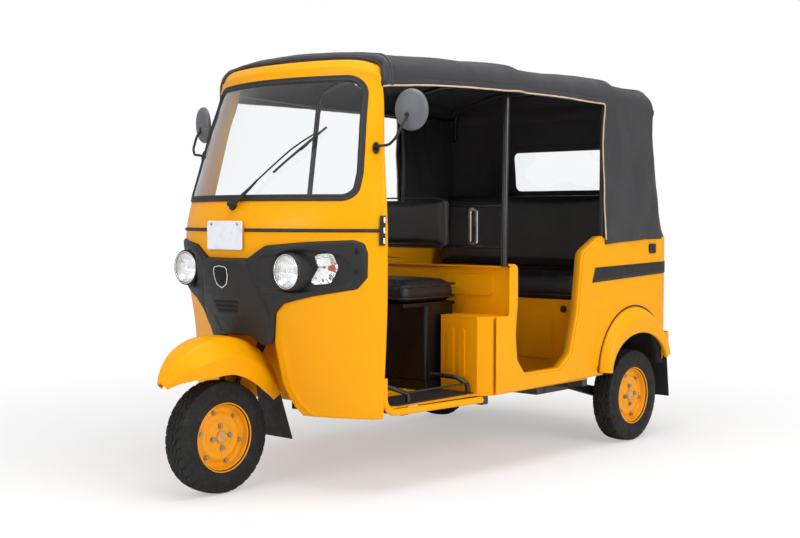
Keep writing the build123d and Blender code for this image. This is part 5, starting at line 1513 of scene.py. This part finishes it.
NODE_FINISH = {
    "wheel_well": "body_paint", "dashboard": "trim_black", "floor_pan": "body_paint",
               "floor_mats": "floor_mat",
    "chassis": "black_tube", "guard_tubes": "black_tube", "driver_seat_box": "pedestal_black",
    "partition": "body_paint", "grab_handles": "bright_metal",
    "passenger_seat_base": "body_paint", "rear_bumper": "body_paint", "tail_lamps": "red_lens",
    "rear_mudflaps": "rubber_black", "engine_block": "cast_metal", "rear_suspension": "black_tube",
    "tailgate": "body_paint", "steering_column": "black_tube", "front_suspension": "black_tube",
    "handlebar": "black_tube", "front_mudflap": "rubber_black",
}

make_hood()
make_sides()
make_fenders()
make_mudguard()
for key, (hub, wheel_body, outward) in HUBS.items():
    make_tyre(key + "_tyre_treaded", {"front": "front_tyre"}.get(key, "rear_tyre_" + key[5:]), hub,
              wheel_body)
    make_rim(key + "_rim_pressed", {"front": "front_rim"}.get(key, "rear_rim_" + key[5:]), hub, wheel_body,
             outward)
make_seats()
for node, look in NODE_FINISH.items():
    dressed(node, look)


# ------------------------------------------------------------------ fittings of the cab and the hood's frame
def turned(centre, normal, up, profile, wide=1.0, tall=1.0, sides=40):
    """Profile (along, radius) turned about a normal and stretched to an ellipse: centre + along n +
    radius (wide cos a u + tall sin a v)."""
    normal = np.asarray(normal, float) / np.linalg.norm(normal)
    across = np.cross(up, normal)
    across /= np.linalg.norm(across)
    upward = np.cross(normal, across)
    profile = np.asarray(profile, float)
    angle = np.linspace(0, TAU, sides, endpoint=False)[:, None]
    ring = wide * np.cos(angle)[..., None] * across + tall * np.sin(angle)[..., None] * upward
    points = np.asarray(centre) + profile[None, :, :1] * normal + profile[None, :, 1:] * ring
    return points.reshape(-1, 3), grid_faces(sides, len(profile), True, False)


def tapered(path, widths, heights, normals):
    """Bar whose rounded section (from rounded) is scaled from point to point of a path."""
    path, normals = np.asarray(path, float), np.asarray(normals, float)
    ahead = np.gradient(path, axis=0)
    side = np.cross(normals, ahead)
    side /= np.linalg.norm(side, axis=1)[:, None]
    section = rounded([(-0.5, -0.5), (0.5, -0.5), (0.5, 0.5), (-0.5, 0.5)], 0.3, step=0.1)
    points = (path[:, None] + section[None, :, :1] * np.asarray(widths)[:, None, None] * side[:, None]
              + section[None, :, 1:] * np.asarray(heights)[:, None, None] * normals[:, None])
    count = len(section)
    total = len(path) * count
    faces = grid_faces(len(path), count, False, True).tolist()
    faces += [list(range(count))[::-1], list(range(total - count, total))]
    return points.reshape(-1, 3), faces


def off_glass(line, height):
    """Points over the cab's skin whose view from ahead and the left stays over (y, z) of the line."""
    line, height = np.asarray(line, float), np.broadcast_to(height, len(line))
    y, z = line[:, 0] + 0.73 * height, line[:, 1] - 0.37 * height
    return cab_point(y, z, height), cab_normal(y, z)


def make_wiper():
    """Pivot boss, flat arm tapering to a rod, and a blade: rubber, a bowed bar and two small bows over it."""
    start = np.array([0.010, 1.076])
    boss = turned(cab_point(start[0], start[1], 0.0), cab_normal(start[0], start[1]), (0, 0, 1),
                  [(-0.004, 0.0), (-0.004, 0.019), (0.008, 0.018), (0.012, 0.012), (0.026, 0.011),
                   (0.029, 0.008), (0.030, 0.0)])
    way = np.array([(0.010, 1.078), (0.040, 1.108), (0.078, 1.147), (0.098, 1.173)])
    line, normals = off_glass(spaced(way, 0.01), 0.022)
    t = np.linspace(0, 1, len(line))
    arm = tapered(line, 0.020 - 0.013 * t, 0.011 - 0.005 * t, normals)
    rod, _ = off_glass(spaced([(0.094, 1.168), (0.202, 1.284), (0.236, 1.313), (0.272, 1.341)], 0.015), 0.020)
    rod = swept(rod, ring_profile(0.0032, 10), up="carried")
    foot, tip = np.array([0.158, 1.200]), np.array([0.316, 1.368])
    t = np.linspace(0, 1, 40)
    blade_line = foot + (tip - foot) * t[:, None]
    line, normals = off_glass(blade_line, 0.006)
    rubber = tapered(line, np.full(40, 0.005), np.full(40, 0.010), normals)
    line, normals = off_glass(blade_line, 0.009 + 0.017 * np.sin(np.pi * t))
    bar = tapered(line, 0.005 + 0.003 * np.sin(np.pi * t), np.full(40, 0.003), normals)
    bows = []
    for a, b in ((0.0, 0.52), (0.42, 1.0)):
        s = a + (b - a) * t
        line, normals = off_glass(foot + (tip - foot) * s[:, None], 0.010 + 0.008 * np.sin(np.pi * t))
        bows.append(tapered(line, np.full(40, 0.006), np.full(40, 0.003), normals))
    saddle, normals = off_glass(foot + (tip - foot) * np.array([[0.50], [0.64]]), 0.024)
    saddle = tapered(saddle, [0.010, 0.010], [0.010, 0.010], normals)
    wiper = piece("wiper_arm_blade", *joined([boss, arm, rod, rubber, bar, saddle] + bows), "body",
                  "trim_black", "trim_black")
    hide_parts("wiper")


def make_mirrors():
    """Domed oval shells on bent stalks from a cup on the cab's side; the glass faces back."""
    centre, normal = np.array([1.571, 0.590, 1.429]), np.array([0.9, 0.28, -0.05])
    dome = [(0.021, 0.0), (0.0205, 0.35), (0.018, 0.65), (0.012, 0.88), (0.006, 0.965), (0.0, 1.0),
            (-0.006, 0.995),
            (-0.008, 0.975), (-0.006, 0.955), (-0.004, 0.945), (-0.003, 0.5), (-0.003, 0.0)]
    shell = turned(centre, normal, (0, 0, 1), dome, 0.066, 0.077, 56)
    face = turned(centre, -normal, (0, 0, 1), [(0.0035, 0.0), (0.0050, 0.6), (0.0052, 0.945)], 0.066, 0.077,
                  56)
    y, z = 0.487, 1.289
    foot, out = cab_point(y, z, 0.0), cab_normal(y, z)
    cup = turned(foot, out, (0, 0, 1), [(-0.002, 0.0), (-0.002, 1.0), (0.004, 1.0), (0.010, 0.86),
                                        (0.012, 0.60), (0.008, 0.48), (0.008, 0.0)], 0.013, 0.023, 36)
    stalk = tube([foot + out * 0.004, foot + out * 0.024 + (0, 0.010, 0), (1.652, 0.552, 1.297),
                  (1.640, 0.575, 1.323),
                  (1.612, 0.586, 1.378), (1.588, 0.584, 1.408)], 0.0052, 0.03, sides=16)
    knob = turned([1.590, 0.586, 1.410], normal, (0, 0, 1),
                  [(-0.010, 0.0), (-0.010, 0.012), (0.000, 0.012), (0.005, 0.008), (0.006, 0.0)])
    near = joined([cup, stalk, knob])
    arms = piece("mirror_stalks", *joined([near, mirrored(near)]), "body", "trim_black", "trim_black")
    shells = piece("mirror_shells", *joined([shell, mirrored(shell)]), "body", "mirror_shell", "trim_black")
    faces = piece("mirror_faces", *joined([face, mirrored(face)]), "body", "mirror_glass", "bright_metal")
    for part in (arms, shells, faces):
        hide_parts("mirrors")


def make_frame():
    """Hoop, bows, hem rails, backrest rails and header bow in black tube, each carried along its path."""
    parts = [tube([(0.988, 0.582, 0.837), (0.926, 0.546, 1.520), (0.918, 0.528, 1.612), (0.912, 0.42, 1.652),
                   (0.910, 0.20, 1.676),
                   (0.910, -0.20, 1.676), (0.912, -0.42, 1.652), (0.918, -0.528, 1.612),
                   (0.926, -0.546, 1.520), (0.988, -0.582, 0.837)], 0.012, 0.06)]
    for x, foot, half, crown in ((0.268, 0.947, 0.590, 1.684), (-0.150, 1.440, 0.588, 1.668)):
        side = [(x, half, foot), (x, half, crown - 0.100), (x, half - 0.055, crown - 0.040),
                (x, half - 0.25, crown - 0.006)]
        parts.append(tube(side + [(a, -b, c) for a, b, c in side[::-1]], 0.012, 0.06))
    for z, half in ((1.084, 0.559), (0.914, 0.572)):
        x = 0.988 - 0.062 * (z - 0.837) / 0.683
        parts.append(tube([(x, half + 0.004, z), (x, -half - 0.004, z)], 0.008))
    rail = tube([(1.572, 0.416, 1.552), (0.927, 0.556, 1.552), (0.268, 0.590, 1.552),
                 (-0.150, 0.588, 1.552)], 0.008, 0.3)
    parts += [rail, mirrored(rail)]
    parts.append(tube([(1.572, 0.412, 1.550), (1.572, 0.390, 1.588), (1.610, 0.20, 1.606),
                       (1.610, -0.20, 1.606),
                       (1.572, -0.390, 1.588), (1.572, -0.412, 1.550)], 0.009, 0.06))
    frame_tubes = piece("hood_frame", *joined(parts), "body", "black_tube", "black_tube")
    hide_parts("partition_rails")


def make_small_fittings():
    """Door hinge on the cab's rear edge, a rubber plug in the bench's front panel and the step mats."""
    leaf, knuckles = [], []
    for side in (1, -1):
        z = np.linspace(0.932, 1.040, 6)
        y = np.full(6, side * 0.5375)
        leaf.append(swept(cab_point(y, z, np.full(6, 0.003)), bar_profile(0.022, 0.008, 0.3),
                          normals=cab_normal(y, z)))
        for z in (0.948, 0.986, 1.024):
            at = cab_point(side * 0.5405, z, 0.008)
            knuckles.append(lathe([(-0.010, 0.0005), (-0.010, 0.0042), (0.010, 0.0042), (0.010, 0.0005)], 16,
                                  at, "z"))
    piece("door_hinge_leaves", *joined(leaf), "body", "trim_black", "trim_black")
    piece("door_hinge_knuckles", *joined(knuckles), "body", "bright_metal", "bright_metal")
    plug = lathe([(-0.002, 0.0), (-0.002, 0.016), (0.003, 0.015), (0.005, 0.010), (0.002, 0.008),
                  (0.002, 0.0)], 28,
                 (0.402, 0.478, 0.629), "x")
    piece("bench_plug", *plug, "body", "rubber_black", "rubber_black")
    upright = [(0.0, 1.0, 0.0)] * 2
    step = swept([(1.318, 0.437, 0.3302), (1.318, 0.437, 0.3340)], bar_profile(0.520, 0.176, 0.12),
                 normals=np.array(upright))
    piece("step_mats", *joined([step, mirrored(step)]), "body", "rubber_black", "rubber_black", smooth=False,
          bevel=0.001)


make_small_fittings()
make_wiper()
make_mirrors()
make_frame()
